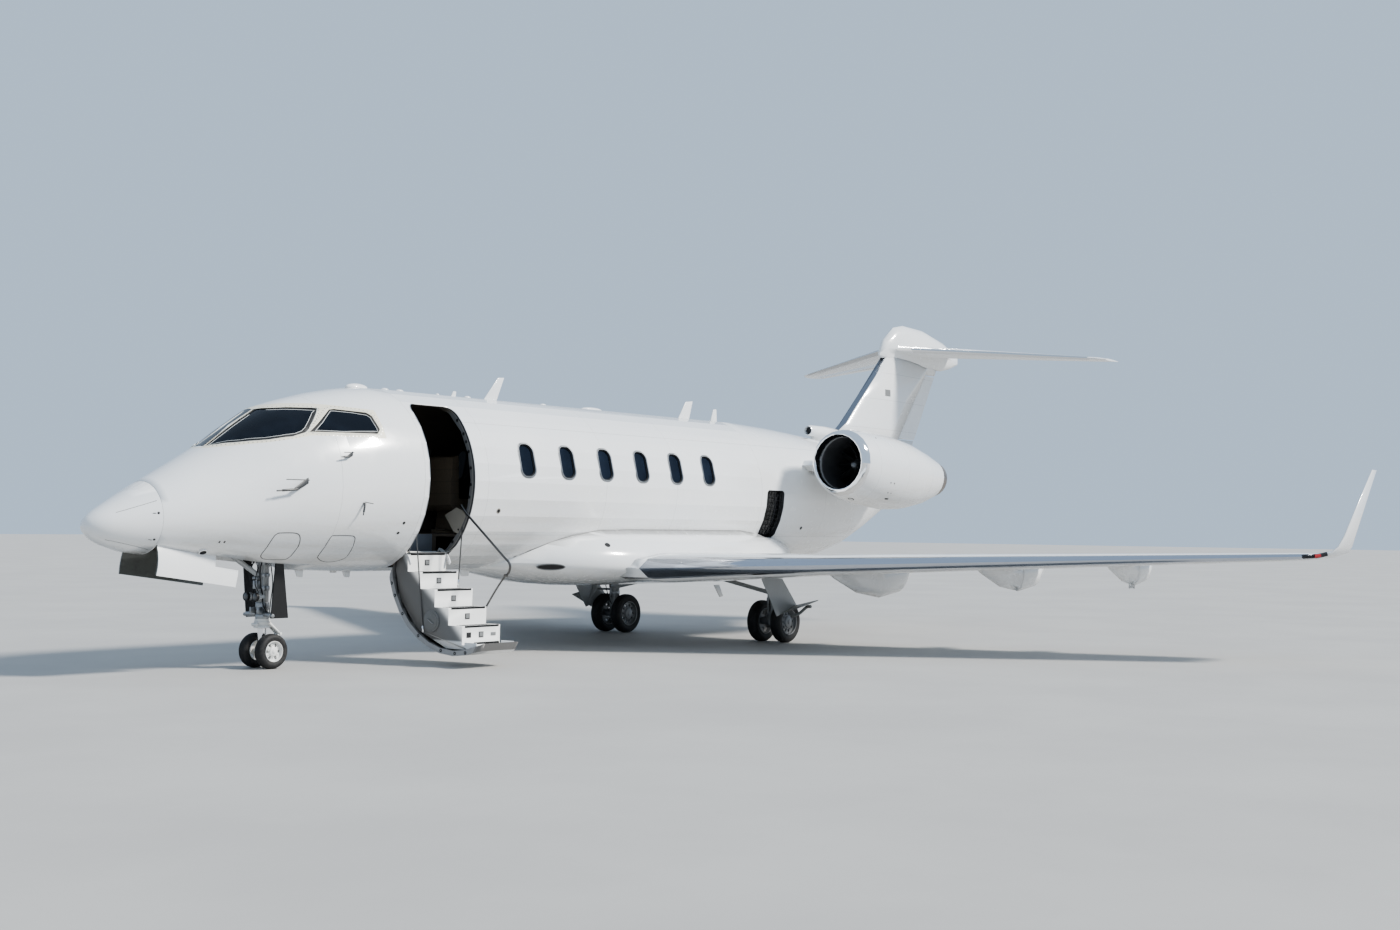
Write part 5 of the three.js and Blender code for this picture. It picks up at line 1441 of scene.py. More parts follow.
# Half a tyre's section from the middle of its tread: part of the half width, and drop below the
# tread as a part of the wall's height
TYRE_SECTION = (
    (0.00, 0.000), (0.10, 0.000), (0.115, 0.050), (0.175, 0.050), (0.19, 0.002), (0.36, 0.010),
    (0.375, 0.062), (0.435, 0.062), (0.45, 0.020), (0.60, 0.050), (0.74, 0.115), (0.86, 0.220),
    (0.955, 0.360), (0.992, 0.480), (1.00, 0.560), (0.985, 0.680), (0.945, 0.800), (0.915, 0.840),
    (0.915, 0.875), (0.885, 0.930), (0.87, 0.990), (0.60, 0.998),
)
# A wheel's section, from its outer edge over the web to its inner edge: part of the rim's radius,
# and distance from the outer face as a part of the width
WHEEL_OUTER = (
    (1.00, 0.062), (0.985, 0.030), (0.945, 0.026), (0.915, 0.060), (0.895, 0.230), (0.84, 0.300),
    (0.72, 0.300), (0.47, 0.215), (0.43, 0.120), (0.37, 0.085), (0.20, 0.070), (0.17, 0.020), (0.00, 0.012),
)
WHEEL_INNER = (
    (0.00, 0.44), (0.45, 0.44), (0.72, 0.46), (0.86, 0.48), (0.895, 0.52), (0.915, 0.93), (0.945, 0.975),
    (0.985, 0.970), (1.00, 0.940),
)


# A wheel's web: how far out its holes and bolts lie and the hub cap's radius, as parts of the rim's
# radius, and the depth of its face as a part of the width
WEB = {"holes": 0.665, "bolts": 0.60, "cap": 0.13, "face": 0.258}


def tyre_piece(wheel, y, out):
    """A tyre whose outer face looks along out, with two grooves a side, bulged walls and a bead."""
    half = wheel["width"] / 2
    wall = wheel["radius"] - wheel["rim"]
    rim = wheel["rim"]
    section = [(max(rim + 0.0006, wheel["radius"] - drop * wall), part * half)
               for part, drop in TYRE_SECTION]
    ring = [(r, half + along) for r, along in section]
    ring += [(r, half - along) for r, along in reversed(section[1:])]
    start = at(wheel["station"], y - out * half, wheel["radius"])
    return spun(ring, start, (0, out, 0), 72, closed=True)


def wheel_piece(wheel, y, out):
    """A wheel with holes through its web, a hub cap and a ring of bolts."""
    rim, width = wheel["rim"], wheel["width"]
    section = [(part * rim, along * width) for part, along in (*WHEEL_OUTER, *WHEEL_INNER)]
    face = at(wheel["station"], y + out * width / 2, wheel["radius"])
    body = spun(section, face, (0, -out, 0), 64, closed=True)
    cutters = []
    for k in range(wheel["holes"]):
        turn = math.tau * k / wheel["holes"]
        hole = drum(rim * wheel["hole"], -0.02, width, 20)
        hole.scale = (1.35, 0.95, 1.0)
        place_into_mesh(hole)
        radial = Vector((math.cos(turn), 0, math.sin(turn)))
        cutters.append(seated(hole, face + radial * rim * WEB["holes"], (0, -out, 0), radial))
    tool = joined(cutters)
    modify(body, "BOOLEAN", operation="DIFFERENCE", object=tool, solver="EXACT")
    bpy.data.objects.remove(tool)
    fittings = []
    for k in range(wheel["holes"]):
        turn = math.tau * (k + 0.5) / wheel["holes"]
        radial = Vector((math.cos(turn), 0, math.sin(turn)))
        spot = face + radial * rim * WEB["bolts"] - Vector((0, out * width * WEB["face"], 0))
        fittings.append(seated(drum(0.0072, -0.004, 0.012, 6, 0.001), spot, (0, out, 0), radial))
    cap = face - Vector((0, out * 0.004, 0))
    fittings.append(seated(drum(rim * WEB["cap"], -0.01, 0.003, 6, 0.0015), cap, (0, out, 0)))
    return joined([body, *fittings])


class JET_OT_wheels(bpy.types.Operator):
    """Makes the tyres and the wheels"""

    bl_idname = "jet.wheels"
    bl_label = "Wheels and tyres"

    def execute(self, context):
        MAIN_WHEELS["holes"] = context.scene.jet_sizes.spoke_holes
        self.pair(NOSE_WHEELS, 0.0, "nose_wheel_hubs", {-1: "nose_tyre_left", 1: "nose_tyre_right"}, "rim")
        for name, side in SIDES:
            nodes = {side: f"main_tyre_outer_{name}", -side: f"main_tyre_inner_{name}"}
            self.pair(MAIN_WHEELS, side * MAIN_TRACK / 2, f"main_wheel_hubs_{name}", nodes, "rim_main")
        return {"FINISHED"}

    def pair(self, wheel, y, hub_node, tyre_nodes, look):
        body = BODY_OF_NODE[hub_node]
        wheels = []
        for out, node in tyre_nodes.items():
            middle = y + out * wheel["spacing"] / 2
            done(tyre_piece(wheel, middle, out), node + "_rubber", "sidewall", body, 40, (node,))
            wheels.append(wheel_piece(wheel, middle, out))
        inner = wheel["spacing"] / 2 - wheel["width"] * 0.05
        axle = at(wheel["station"], y, wheel["radius"])
        wheels.append(rod_between(axle - Vector((0, inner, 0)), axle + Vector((0, inner, 0)),
                                  wheel["rim"] * 0.295, 32))
        done(wheels, hub_node + "_dressed", look, body, 30, (hub_node,))


# Nose leg: station of its barrel, lamps ahead of it, and what hangs round it
NOSE_LEG = {"station": 2.56}
NOSE_LAMPS = {"station": 2.370, "y": 0.095, "z": 0.925, "radius": 0.052}
# Hoses down the nose leg: radius, then points as distance aft of the leg, y and z
NOSE_HOSES = (
    (0.0085, (-0.06, -0.075, 1.44), (-0.12, -0.10, 1.25), (-0.10, -0.092, 1.05), (-0.07, -0.082, 0.98),
     (-0.06, -0.095, 0.82), (-0.04, -0.14, 0.73)),
    (0.0085, (-0.05, 0.075, 1.44), (-0.13, 0.105, 1.22), (-0.08, 0.090, 1.02), (-0.07, 0.085, 0.83),
     (-0.04, 0.14, 0.73)),
    (0.007, (0.07, -0.05, 1.40), (0.11, -0.06, 1.10), (0.09, -0.05, 0.85), (0.09, -0.03, 0.68)),
    (0.006, (-0.09, -0.02, 1.30), (-0.16, -0.05, 1.10), (-0.11, -0.07, 0.97)),
)
# Collars on the fork: low and high end and radius. Pins across it: distance aft, z, half width and radius
FORK_COLLARS = ((0.522, 0.545, 0.106), (0.585, 0.605, 0.103))
FORK_PINS = ((0.256, 0.435, 0.062, 0.019), (0.068, 0.607, 0.058, 0.020), (0.040, 0.236, 0.052, 0.018))
# Torque links behind the fork: distance aft and z of both ends, and distance from the middle
FORK_LINKS = (((0.075, 0.590), (0.240, 0.452)), ((0.060, 0.262), (0.240, 0.420)))
LINK_OFF = 0.037


class JET_OT_nose_leg_fittings(bpy.types.Operator):
    """Makes the nose leg's lamps, steering cylinders, hoses, clamps and link pins"""

    bl_idname = "jet.nose_leg_fittings"
    bl_label = "Nose leg fittings"

    def execute(self, context):
        self.lamps()
        self.leg_parts()
        self.fork_parts()
        return {"FINISHED"}

    def lamps(self):
        rims, lenses = [], []
        for side in (-1, 1):
            place = at(NOSE_LAMPS["station"], side * NOSE_LAMPS["y"], NOSE_LAMPS["z"])
            ring = [(NOSE_LAMPS["radius"] - 0.004, -0.006), (NOSE_LAMPS["radius"] + 0.004, -0.006),
                    (NOSE_LAMPS["radius"] + 0.004, 0.030), (NOSE_LAMPS["radius"] - 0.001, 0.030),
                    (NOSE_LAMPS["radius"] - 0.009, 0.004)]
            rims.append(spun(ring, place, (1, 0, 0), 40, closed=True))
            lens = dome(NOSE_LAMPS["radius"] * 1.9, NOSE_LAMPS["radius"] * 1.9, 0.012)
            lenses.append(seated(lens, place + Vector((0.002, 0, 0)), (-1, 0, 0), (0, 1, 0)))
        done(rims, "nose_lamp_rims", "black")
        done(lenses, "nose_lamp_lenses", "dark_lens")

    def leg_parts(self):
        station = NOSE_LEG["station"]
        metal_parts = [collar(station, 0, z, half, 0.088) for z, half in (
            (1.36, 0.03), (1.20, 0.022), (1.03, 0.03), (0.80, 0.05), (0.665, 0.03))]
        for side in (-1, 1):
            start = at(station - 0.02, side * 0.085, 0.705)
            end = at(station - 0.05, side * 0.255, 0.690)
            metal_parts.append(rod_between(start, end, 0.036, 24, 0.006))
            metal_parts.append(rod_between(end, end + (end - start).normalized() * 0.045, 0.024, 20, 0.004))
            metal_parts.append(brick(at(station - 0.135, side * 0.075 - 0.014, 0.71),
                                     at(station - 0.03, side * 0.075 + 0.014, 0.79), 0.004))
            metal_parts.append(rod_between(at(station, side * 0.10, 1.30),
                                           at(station + 0.04, side * 0.19, 1.46), 0.016))
        metal_parts.append(brick(at(station - 0.125, -0.045, 1.02), at(station - 0.07, 0.045, 1.13), 0.006))
        metal_parts.append(pin(station - 0.10, 1.16, 0.06, 0.024))
        done(metal_parts, "nose_leg_fittings", "steel", angle=35)
        hoses = [pipe(arc_through([at(station + along, y, z) for along, y, z in line]), radius)
                 for radius, *line in NOSE_HOSES]
        done(hoses, "nose_leg_hoses", "hose", angle=50)

    def fork_parts(self):
        station, body = NOSE_LEG["station"], "nose_fork"
        piston = rod_between(at(station, 0, 0.285), at(station, 0, 0.515), 0.0545, 36)
        done(piston, "nose_piston", "chrome", body)
        parts = [rod_between(at(station, 0, low), at(station, 0, high), radius, 36, 0.004)
                 for low, high, radius in FORK_COLLARS]
        parts += [pin(station + aft, z, half, radius) for aft, z, half, radius in FORK_PINS]
        for y in (-LINK_OFF, LINK_OFF):
            for ends in FORK_LINKS:
                a, b = (at(station + aft, y, z) for aft, z in ends)
                parts.append(rod_between(a, b, 0.017, 14, 0.002))
        parts.append(pin(station - 0.11, 0.565, 0.05, 0.022))
        parts.append(brick(at(station - 0.125, -0.028, 0.548), at(station - 0.07, 0.028, 0.582), 0.004))
        done(parts, "nose_fork_fittings", "rim", body, 35)


# Hoses down a main leg: how far aft each hangs, then the line that they share, as distance aft of the
# leg, distance across it for the first hose, step from hose to hose, and z
HOSE_LEANS = (-0.05, 0.03, 0.08)
HOSE_LINE = (
    (-0.08, -0.04, 0.0, 1.16), (-0.13, -0.07, 0.05, 0.95), (-0.11, -0.05, 0.05, 0.76),
    (-0.07, -0.03, 0.03, 0.60), (-0.03, 0.0, 0.0, 0.50),
)
# The low flap of a leg door and the hook that holds it: station, y and z
LEG_FLAP = ((11.20, -2.088, 0.470), (11.62, -2.088, 0.600), (11.60, -2.560, 0.705), (11.26, -2.560, 0.640))
LEG_HOOK = ((11.42, -2.10, 0.520), (11.42, -2.20, 0.455), (11.42, -2.32, 0.500), (11.42, -2.45, 0.600),
            (11.42, -2.54, 0.615))


class JET_OT_main_leg_fittings(bpy.types.Operator):
    """Makes the main legs' clamps, hoses, side rods and the low flap of each leg door"""

    bl_idname = "jet.main_leg_fittings"
    bl_label = "Main leg fittings"

    def execute(self, context):
        station = MAIN_WHEELS["station"] - 0.04
        y = -MAIN_TRACK / 2
        metal_parts = [collar(station, y, *sizes) for sizes in (
            (1.12, 0.03, 0.098), (0.98, 0.02, 0.094), (0.84, 0.05, 0.100), (0.70, 0.03, 0.095))]
        for along in (-0.105, 0.105):
            metal_parts.append(rod_between(at(station + along, y, 0.62), at(station + along, y, 0.80),
                                           0.022, 16, 0.003))
        metal_parts.append(rod_between(at(station, y + 0.02, 1.02), at(station - 0.30, y + 0.30, 1.16),
                                       0.028, 20))
        metal_parts.append(rod_between(at(station + 0.10, y - 0.055, 0.40),
                                       at(station + 0.10, y + 0.055, 0.40), 0.030, 20, 0.004))
        done(both_sides(metal_parts), "main_leg_fittings", "steel", angle=35)
        hoses = []
        for k, lean in enumerate(HOSE_LEANS):
            line = [at(station + aft + lean, y + across + step * k, z) for aft, across, step, z in HOSE_LINE]
            hoses.append(pipe(arc_through(line), 0.008))
        done(both_sides(hoses), "main_leg_hoses", "hose", angle=50)
        flap = slab([at(*p) for p in LEG_FLAP], (0, 0, 0.014))
        hook = pipe(arc_through([at(*p) for p in LEG_HOOK]), 0.026)
        done(both_sides([flap, hook]), "leg_door_flaps", "leg_door")
        return {"FINISHED"}


# Hatches low on the nose: station and height of the points round each
HATCHES = (
    ((2.215, 1.749), (2.427, 1.745), (2.509, 1.683), (2.547, 1.576), (2.551, 1.430), (2.503, 1.408),
     (2.271, 1.413), (2.164, 1.446), (2.131, 1.504), (2.134, 1.682), (2.165, 1.735)),
    ((2.977, 1.428), (3.143, 1.376), (3.310, 1.381), (3.400, 1.437), (3.346, 1.638), (3.302, 1.704),
     (3.213, 1.720), (3.008, 1.720), (2.943, 1.692), (2.944, 1.495)),
)
# Probes on the port side, laid in dark metal along the dark shapes that their shadows make on the skin:
# partly real probes, partly painted shadow. Root, elbow and tip, width of the mast, radius of the tube
PROBES = (
    ((2.512, -0.975, 2.422), (2.258, -1.019, 2.291), (2.002, -0.975, 2.268), 0.056, 0.015),
    ((3.155, -1.035, 2.782), (3.023, -1.092, 2.729), (2.916, -1.080, 2.722), 0.045, 0.012),
    ((3.285, -1.088, 2.160), (3.282, -1.125, 2.120), (3.245, -1.132, 1.984), 0.036, 0.013),
)

# Painted shade: thin dark lines on the skin where the probes' thin metal parts run, for their shaded
# undersides. Station and height of both ends, and radius of the line
PROBE_SHADE_LINES = (
    (((2.200, 2.415), (2.500, 2.415)), 0.006),
    (((3.011, 2.786), (3.150, 2.786)), 0.006),
    (((3.290, 2.155), (3.430, 2.135)), 0.005),
)


class JET_OT_nose_fittings(bpy.types.Operator):
    """Makes the nose's hatches, ports, probes, vanes and lightning strips"""

    bl_idname = "jet.nose_fittings"
    bl_label = "Nose fittings"

    def execute(self, context):
        nose = skin_of("nose_section")
        cone = skin_of("radome")
        cabin = skin_of("cabin_section")
        lines, rims, darks, lights = [], [], [], []
        for side in (-1, 1):
            for hatch in HATCHES:
                loop = loop_through([beside(nose, u, v, side)[0] for u, v in hatch], 4)
                lines.append(fitted_line(loop, nose, 0.009, sink=0.0060, closed=True, rounds=1))
            # Thin dark lines by the probes, joined with the hatch gaps: painted shade
            for ends, radius in PROBE_SHADE_LINES:
                shade_line = [beside(nose, u, v, side)[0] for u, v in ends]
                lines.append(fitted_line(shade_line, nose, radius, sink=0.002, rounds=1))
            spot, facing = beside(nose, 1.371, 1.514, side)
            rims.append(seated(spun([(0.043, -0.004), (0.055, -0.004), (0.055, 0.020), (0.043, 0.020)],
                                    (0, 0, 0), (0, 0, 1), 36, closed=True), spot, facing))
            darks.append(seated(drum(0.044, -0.004, 0.008, 32, 0.001), spot, facing))
            for station, z in ((3.977, 1.758), (4.011, 1.891)):
                spot, facing = beside(nose, station, z, side)
                darks.append(seated(drum(0.022, -0.002, 0.0022, 16), spot, facing))
            for station in (1.482, 1.544):
                spot, facing = beside(nose, station, 1.633, side)
                darks.append(seated(brick((-0.009, -0.017, -0.004), (0.009, 0.017, 0.003), 0.002), spot,
                                    facing))
            spot, facing = beside(cabin, 5.679, 2.075, side)
            darks.append(seated(drum(0.026, -0.002, 0.0030, 28), spot, facing))
            lights.append(seated(drum(0.040, -0.002, 0.0020, 32), spot, facing))
        done(lines, "hatch_gaps_and_probe_shade", "black")
        done(rims, "port_rims", "plain")
        done(darks, "small_ports", "black")
        done(lights, "static_ports", "khaki")
        self.probes()
        self.strips(cone)
        return {"FINISHED"}

    def probes(self):
        # Each probe follows the dark shape of its shadow: partly real probe, partly painted shadow
        pieces = []
        for root, elbow, tip, width, radius in PROBES:
            root, elbow, tip = at(*root), at(*elbow), at(*tip)
            across = (elbow - root).cross(Vector((0, 1, 0))).normalized() * width / 2
            mast = slab([root + across * 1.3, elbow + across * 0.8, elbow - across * 0.8,
                         root - across * 1.3], (0, 0.016, 0))
            pieces.append(modify(mast, "BEVEL", width=0.005, segments=2, limit_method="ANGLE"))
            head = elbow + Vector((0, 0.008, 0))
            pieces.append(rod_between(head - (tip - head).normalized() * width * 0.6,
                                      head.lerp(tip, 0.7), radius, 20, 0.003))
            pieces.append(rod_between(head.lerp(tip, 0.6), tip, radius * 0.62, 16, 0.002))
        done(both_sides(pieces), "probes_and_vanes", "probe", angle=40)

    def strips(self, cone):
        pieces, dots = [], []
        runs = (((0.264, 1.973), (0.700, 2.123)), ((0.188, 1.655), (0.700, 1.540)))
        for side in (-1, 1):
            for (u0, v0), (u1, v1) in runs:
                line = [beside(cone, u0 + (u1 - u0) * k / 8, v0 + (v1 - v0) * k / 8, side)[0]
                        for k in range(9)]
                pieces.append(fitted_line(line, cone, 0.0038, sink=0.001, rounds=1))
            for station, z in ((0.690, 1.975), (0.690, 1.66)):
                spot, facing = beside(cone, station, z, side)
                dots.append(seated(drum(0.015, -0.002, 0.0022, 16), spot, facing))
                spot, facing = beside(cone, station - 0.045, z - 0.004, side)
                dots.append(seated(brick((-0.020, -0.004, -0.002), (0.020, 0.004, 0.0018)), spot, facing))
        done(pieces, "lightning_strips", "plate")
        done(dots, "radome_marks", "black")


# Blades on the crown and under the belly: station and z of the outline's corners
BLADES = (
    ((6.45, 3.735), (6.749, 4.089), (6.878, 4.099), (6.72, 3.735)),
    ((11.07, 3.73), (11.272, 4.033), (11.468, 4.059), (11.37, 3.73)),
    ((5.79, 3.735), (5.838, 3.820), (5.897, 3.820), (5.889, 3.735)),
    ((11.97, 3.730), (12.055, 3.950), (12.145, 3.965), (12.160, 3.730)),
    ((3.06, 1.255), (3.10, 1.165), (3.19, 1.160), (3.20, 1.255)),
    ((3.85, 1.240), (3.89, 1.150), (3.98, 1.145), (3.99, 1.240)),
    ((6.02, 1.240), (6.06, 1.130), (6.20, 1.125), (6.23, 1.240)),
)
# Low bumps on the crown: station, length, width, height
BUMPS = (
    (4.039, 0.374, 0.17, 0.060), (4.540, 0.127, 0.10, 0.030), (4.811, 0.137, 0.10, 0.030),
    (5.530, 0.060, 0.06, 0.025), (6.120, 0.120, 0.10, 0.030), (7.730, 0.120, 0.08, 0.025),
    (8.850, 0.480, 0.17, 0.040),
)

# A drain mast's corners: distance aft of its root, and drop
DRAIN_MAST = ((0.0, 0.0), (0.16, 0.0), (0.27, 0.20), (0.17, 0.21))


class JET_OT_aerials(bpy.types.Operator):
    """Makes the blades and bumps on the crown and the belly, and the drain mast"""

    bl_idname = "jet.aerials"
    bl_label = "Aerials"

    def execute(self, context):
        pieces = []
        for outline in BLADES:
            blade = slab([at(u, -0.011, v) for u, v in outline], (0, 0.022, 0))
            pieces.append(modify(blade, "BEVEL", width=0.0095, segments=3, limit_method="ANGLE",
                                 angle_limit=math.radians(60)))
        for station, length, width, height in BUMPS:
            skin = skin_of("nose_section" if station < NOSE_JOIN else "cabin_section")
            found, _ = landing(skin, at(station, 0, 6.0), (0, 0, -1))
            pieces.append(seated(dome(length, width, height), found - Vector((0, 0, 0.004)), (0, 0, 1)))
        for station, y, z in ((11.55, -0.45, 0.90), (12.9, 0.25, 1.10)):
            top = at(station, y, z)
            mast = slab([top + Vector((aft, 0, -drop)) for aft, drop in DRAIN_MAST], (0, 0.016, 0))
            pieces.append(modify(mast, "BEVEL", width=0.006, segments=2, limit_method="ANGLE",
                                 angle_limit=math.radians(60)))
        done(pieces, "aerials", "plain", angle=40)
        return {"FINISHED"}


def foremost(skins, y):
    """The leading edge of some pieces at one y, found among their edges."""
    spots = [rearmost(skin, y, -1) for skin in skins]
    return min((spot for spot in spots if spot is not None), key=lambda spot: spot.x)


# A wing tip's lamp: y of its inner end, and from one point of its line to the next
WING_LAMP = {"y": 9.80, "pitch": 0.035}


class JET_OT_lamps(bpy.types.Operator):
    """Makes the wing tips' lamps, each behind a dark cover on the leading edge"""

    bl_idname = "jet.lamps"
    bl_label = "Lamps"

    def execute(self, context):
        for name, wing, side, look in (("port", "left", -1, "red"), ("starboard", "right", 1, "green")):
            skins = [skin_of(f"wing_{wing}"), skin_of(f"leading_edge_{wing}")]
            line = [foremost(skins, side * (WING_LAMP["y"] + WING_LAMP["pitch"] * k))
                    + Vector((0.018, 0, 0)) for k in range(9)]
            done(pipe(line, 0.032, rounds=4), f"{name}_lamp_cover", "lamp_cover", angle=60)
            bulb = [p + Vector((-0.012, 0, 0)) for p in line[4:7]]
            done(pipe(bulb, 0.026, rounds=4), f"{name}_lamp", look, angle=60)
        return {"FINISHED"}


# Baggage doorway
BAGGAGE = {"front": 12.05, "rear": 12.56, "sill": 1.72, "head": 2.53, "sink": 0.050, "cord": 0.0055,
           "bulge": 0.040}


class JET_OT_baggage(bpy.types.Operator):
    """Makes the baggage doorway's net, its frame, and the cover sheet behind it"""

    bl_idname = "jet.baggage"
    bl_label = "Baggage doorway"

    def execute(self, context):
        pitch = context.scene.jet_sizes.net_pitch
        front, rear = BAGGAGE["front"] + 0.012, BAGGAGE["rear"] - 0.012
        low, high = BAGGAGE["sill"] + 0.012, BAGGAGE["head"] - 0.012
        columns = round((rear - front) / pitch)
        rows = round((high - low) / pitch)
        def sag(u, v):
            """The net bellies out between its edges."""
            across = math.sin(math.pi * (u - front) / (rear - front))
            up = math.sin(math.pi * (v - low) / (high - low))
            return on_barrel(u, v, -1, BAGGAGE["sink"] - BAGGAGE["bulge"] * across * up)
        def upright(u):
            return [sag(u, low + (high - low) * k / 16) for k in range(17)]
        cords = []
        for i in range(columns + 1):
            u = front + (rear - front) * i / columns
            cords.append(pipe(upright(u), BAGGAGE["cord"], rounds=1))
        for j in range(rows + 1):
            v = low + (high - low) * j / rows
            level = [sag(front + (rear - front) * k / 10, v) for k in range(11)]
            cords.append(pipe(level, BAGGAGE["cord"], rounds=1))
        done(cords, "baggage_net", "net", angle=60)
        straps = []
        for u in (front + 0.03, (front + rear) / 2, rear - 0.03):
            strap = trail([p + Vector((0, -0.006, 0)) for p in upright(u)])
            edit_all(strap)
            bpy.ops.mesh.extrude_edges_move(TRANSFORM_OT_translate={"value": (0.032, 0, 0)})
            leave_edit()
            straps.append(modify(strap, "SOLIDIFY", thickness=0.003, offset=0.0))
        done(straps, "baggage_straps", "net", angle=50)
        outline = [on_barrel(u, v, -1, 0.085) for u, v in rounded(
            (front + rear) / 2, (low + high) / 2, (rear - front) / 2, (high - low) / 2, 0.06)]
        done(patch(outline, 0.004), "baggage_cover_sheet", "sheet")
        edge = rounded((front + rear) / 2, (low + high) / 2, (rear - front) / 2 + 0.008,
                       (high - low) / 2 + 0.008, 0.07)
        seal = pipe([on_barrel(u, v, -1, 0.020) for u, v in cut_up(edge, 0.07)], 0.009, closed=True)
        done(seal, "baggage_seal", "seal")
        return {"FINISHED"}


SCOOP_MOUTH = (15.075, 0, 3.746)
# Ports on each cowl: station, y, z, width and height. The first has a pale plate in its middle.
COWL_PORTS = (
    (13.266, 2.108, 2.401, 0.13, 0.09), (13.955, 2.403, 2.418, 0.12, 0.035),
    (13.795, 2.590, 2.693, 0.026, 0.026), (13.912, 2.590, 2.684, 0.026, 0.026),
    (13.852, 2.496, 2.522, 0.022, 0.022), (13.952, 2.496, 2.516, 0.022, 0.022),
    (13.576, 2.410, 3.468, 0.030, 0.030),
)


class JET_OT_tail_fittings(bpy.types.Operator):
    """Makes the fin's bare plate, the static wicks, and the small ports on the fairings and cowls"""

    bl_idname = "jet.tail_fittings"
    bl_label = "Tail and fairing fittings"

    def execute(self, context):
        fin = skin_of("fin")
        for name, side in SIDES:
            spot, facing = beside(fin, 17.684, 4.648, side)
            plate = brick((-0.100, -0.0675, -0.001), (0.100, 0.0675, 0.0015))
            done(seated(plate, spot, facing), f"fin_plate_{name}", "plate")
        fairing = skin_of("belly_fairing")
        ports, rims, plates, creases = [], [], [], []
        for side in (-1, 1):
            # The inlet looks forward and outward, so it is found along a slanted line
            spot, facing = landing(fairing, at(6.924 - 1.2, side * 2.6, 1.273), (1.2, -side * 1.62, 0))
            level = Vector(facing).cross((0, 0, 1))
            ports.append(self.disc(0.40, 0.075, 0.003, spot, facing, level))
            rims.append(self.disc(0.44, 0.115, 0.0022, spot, facing, level))
            spot, facing = beside(fairing, 7.786, 1.599, side)
            ports.append(self.disc(0.09, 0.09, 0.003, spot, facing))
            cowl = skin_of("nacelle_left" if side < 0 else "nacelle_right")
            engine = Vector((0, side * COWL["y"], COWL["z"] - 0.03))
            for k, (station, y, z, wide, tall) in enumerate(COWL_PORTS):
                start = at(station, side * y, z)
                inward = Vector((0, engine.y - start.y, engine.z - start.z)).normalized()
                spot, facing = landing(cowl, start - inward * 0.5, inward)
                ports.append(self.disc(wide, tall, 0.003, spot, facing))
                if k == 0:
                    plates.append(self.disc(0.10, 0.06, 0.0045, spot, facing))
            spot, facing = beside(skin_of("aft_section"), 13.283, 1.889, side)
            ports.append(self.disc(0.06, 0.06, 0.003, spot, facing))
            # A grey line where the fairing runs into the fuselage: painted shade in the crease
            line = [self.meeting(fairing, 6.1 + 0.2 * k, side) for k in range(30)]
            line = [p for p in line if p is not None]
            creases.append(fitted_line(line, fairing, 0.006, rounds=1))
        done(rims, "fairing_rims", "plate")
        done(ports, "fairing_inlets", "black")
        done(plates, "cowl_port_centres", "sealant")
        done(creases, "fairing_crease_shade", "shell_grey")
        # A black disc in the scoop's mouth: painted shade for the dark inside of the scoop
        mouth = at(*SCOOP_MOUTH)
        done(rod_between(mouth, mouth + Vector((0.01, 0, 0)), 0.070, 32), "scoop_mouth", "black")
        self.wicks()
        return {"FINISHED"}

    @staticmethod
    def disc(wide, tall, high, spot, facing, along=(1, 0, 0)):
        """A low oval disc on a surface."""
        piece = drum(0.5, -0.003, high, 32, 0.001)
        piece.scale = (wide, tall, 1.0)
        return seated(place_into_mesh(piece), spot, facing, along)

    @staticmethod
    def meeting(fairing, station, side):
        """Where the fairing's side runs into the fuselage at one station."""
        hull = skin_of("cabin_section" if station < AFT_JOIN else "aft_section")
        found = None
        for k in range(60):
            start = at(station, side * CLEAR, 1.35 + 0.01 * k)
            hit, spot, _, _ = fairing.ray_cast(start, Vector((0, -side, 0)))
            other, behind, _, _ = hull.ray_cast(start, Vector((0, -side, 0)))
            if hit and (not other or abs(spot.y) > abs(behind.y)):
                found = spot
        return found

    def wicks(self):
        """Thin rods on the ailerons' trailing edges that bleed off static charge."""
        for node in ("aileron_left", "aileron_right"):
            low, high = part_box(node)
            rods = []
            for part in (0.25, 0.5, 0.75):
                spot = rearmost(skin_of(node), low[1] + (high[1] - low[1]) * part)
                rods.append(pipe([spot + Vector((-0.03, 0, 0.002)), spot + Vector((0.085, 0, 0.002))],
                                 0.0026, rounds=1))
            done(rods, f"{node}_wicks", "black", BODY_OF_NODE[node])


def rearmost(skin, y, way=1):
    """The trailing edge of a piece at one y, found among its edges; its leading edge for way=-1."""
    best = None
    for edge in skin.data.edges:
        a, b = (skin.data.vertices[i].co for i in edge.vertices)
        if (a.y - y) * (b.y - y) > 0 or a.y == b.y:
            continue
        spot = a.lerp(b, (y - a.y) / (b.y - a.y))
        if best is None or spot.x * way > best.x * way:
            best = spot
    return best


CAMERA = {"place": (-20.996, -17.374, 1.863), "yaw": 38.0, "pitch": 0.039, "roll": 0.011,
          "focal_px": 1624.0}
PHOTO_WIDTH = 1400
SENSOR_WIDTH = 36.0
FLOOR_SIZE = 400
SUN_SPREAD = 9  # degrees across the key light, for soft shadows


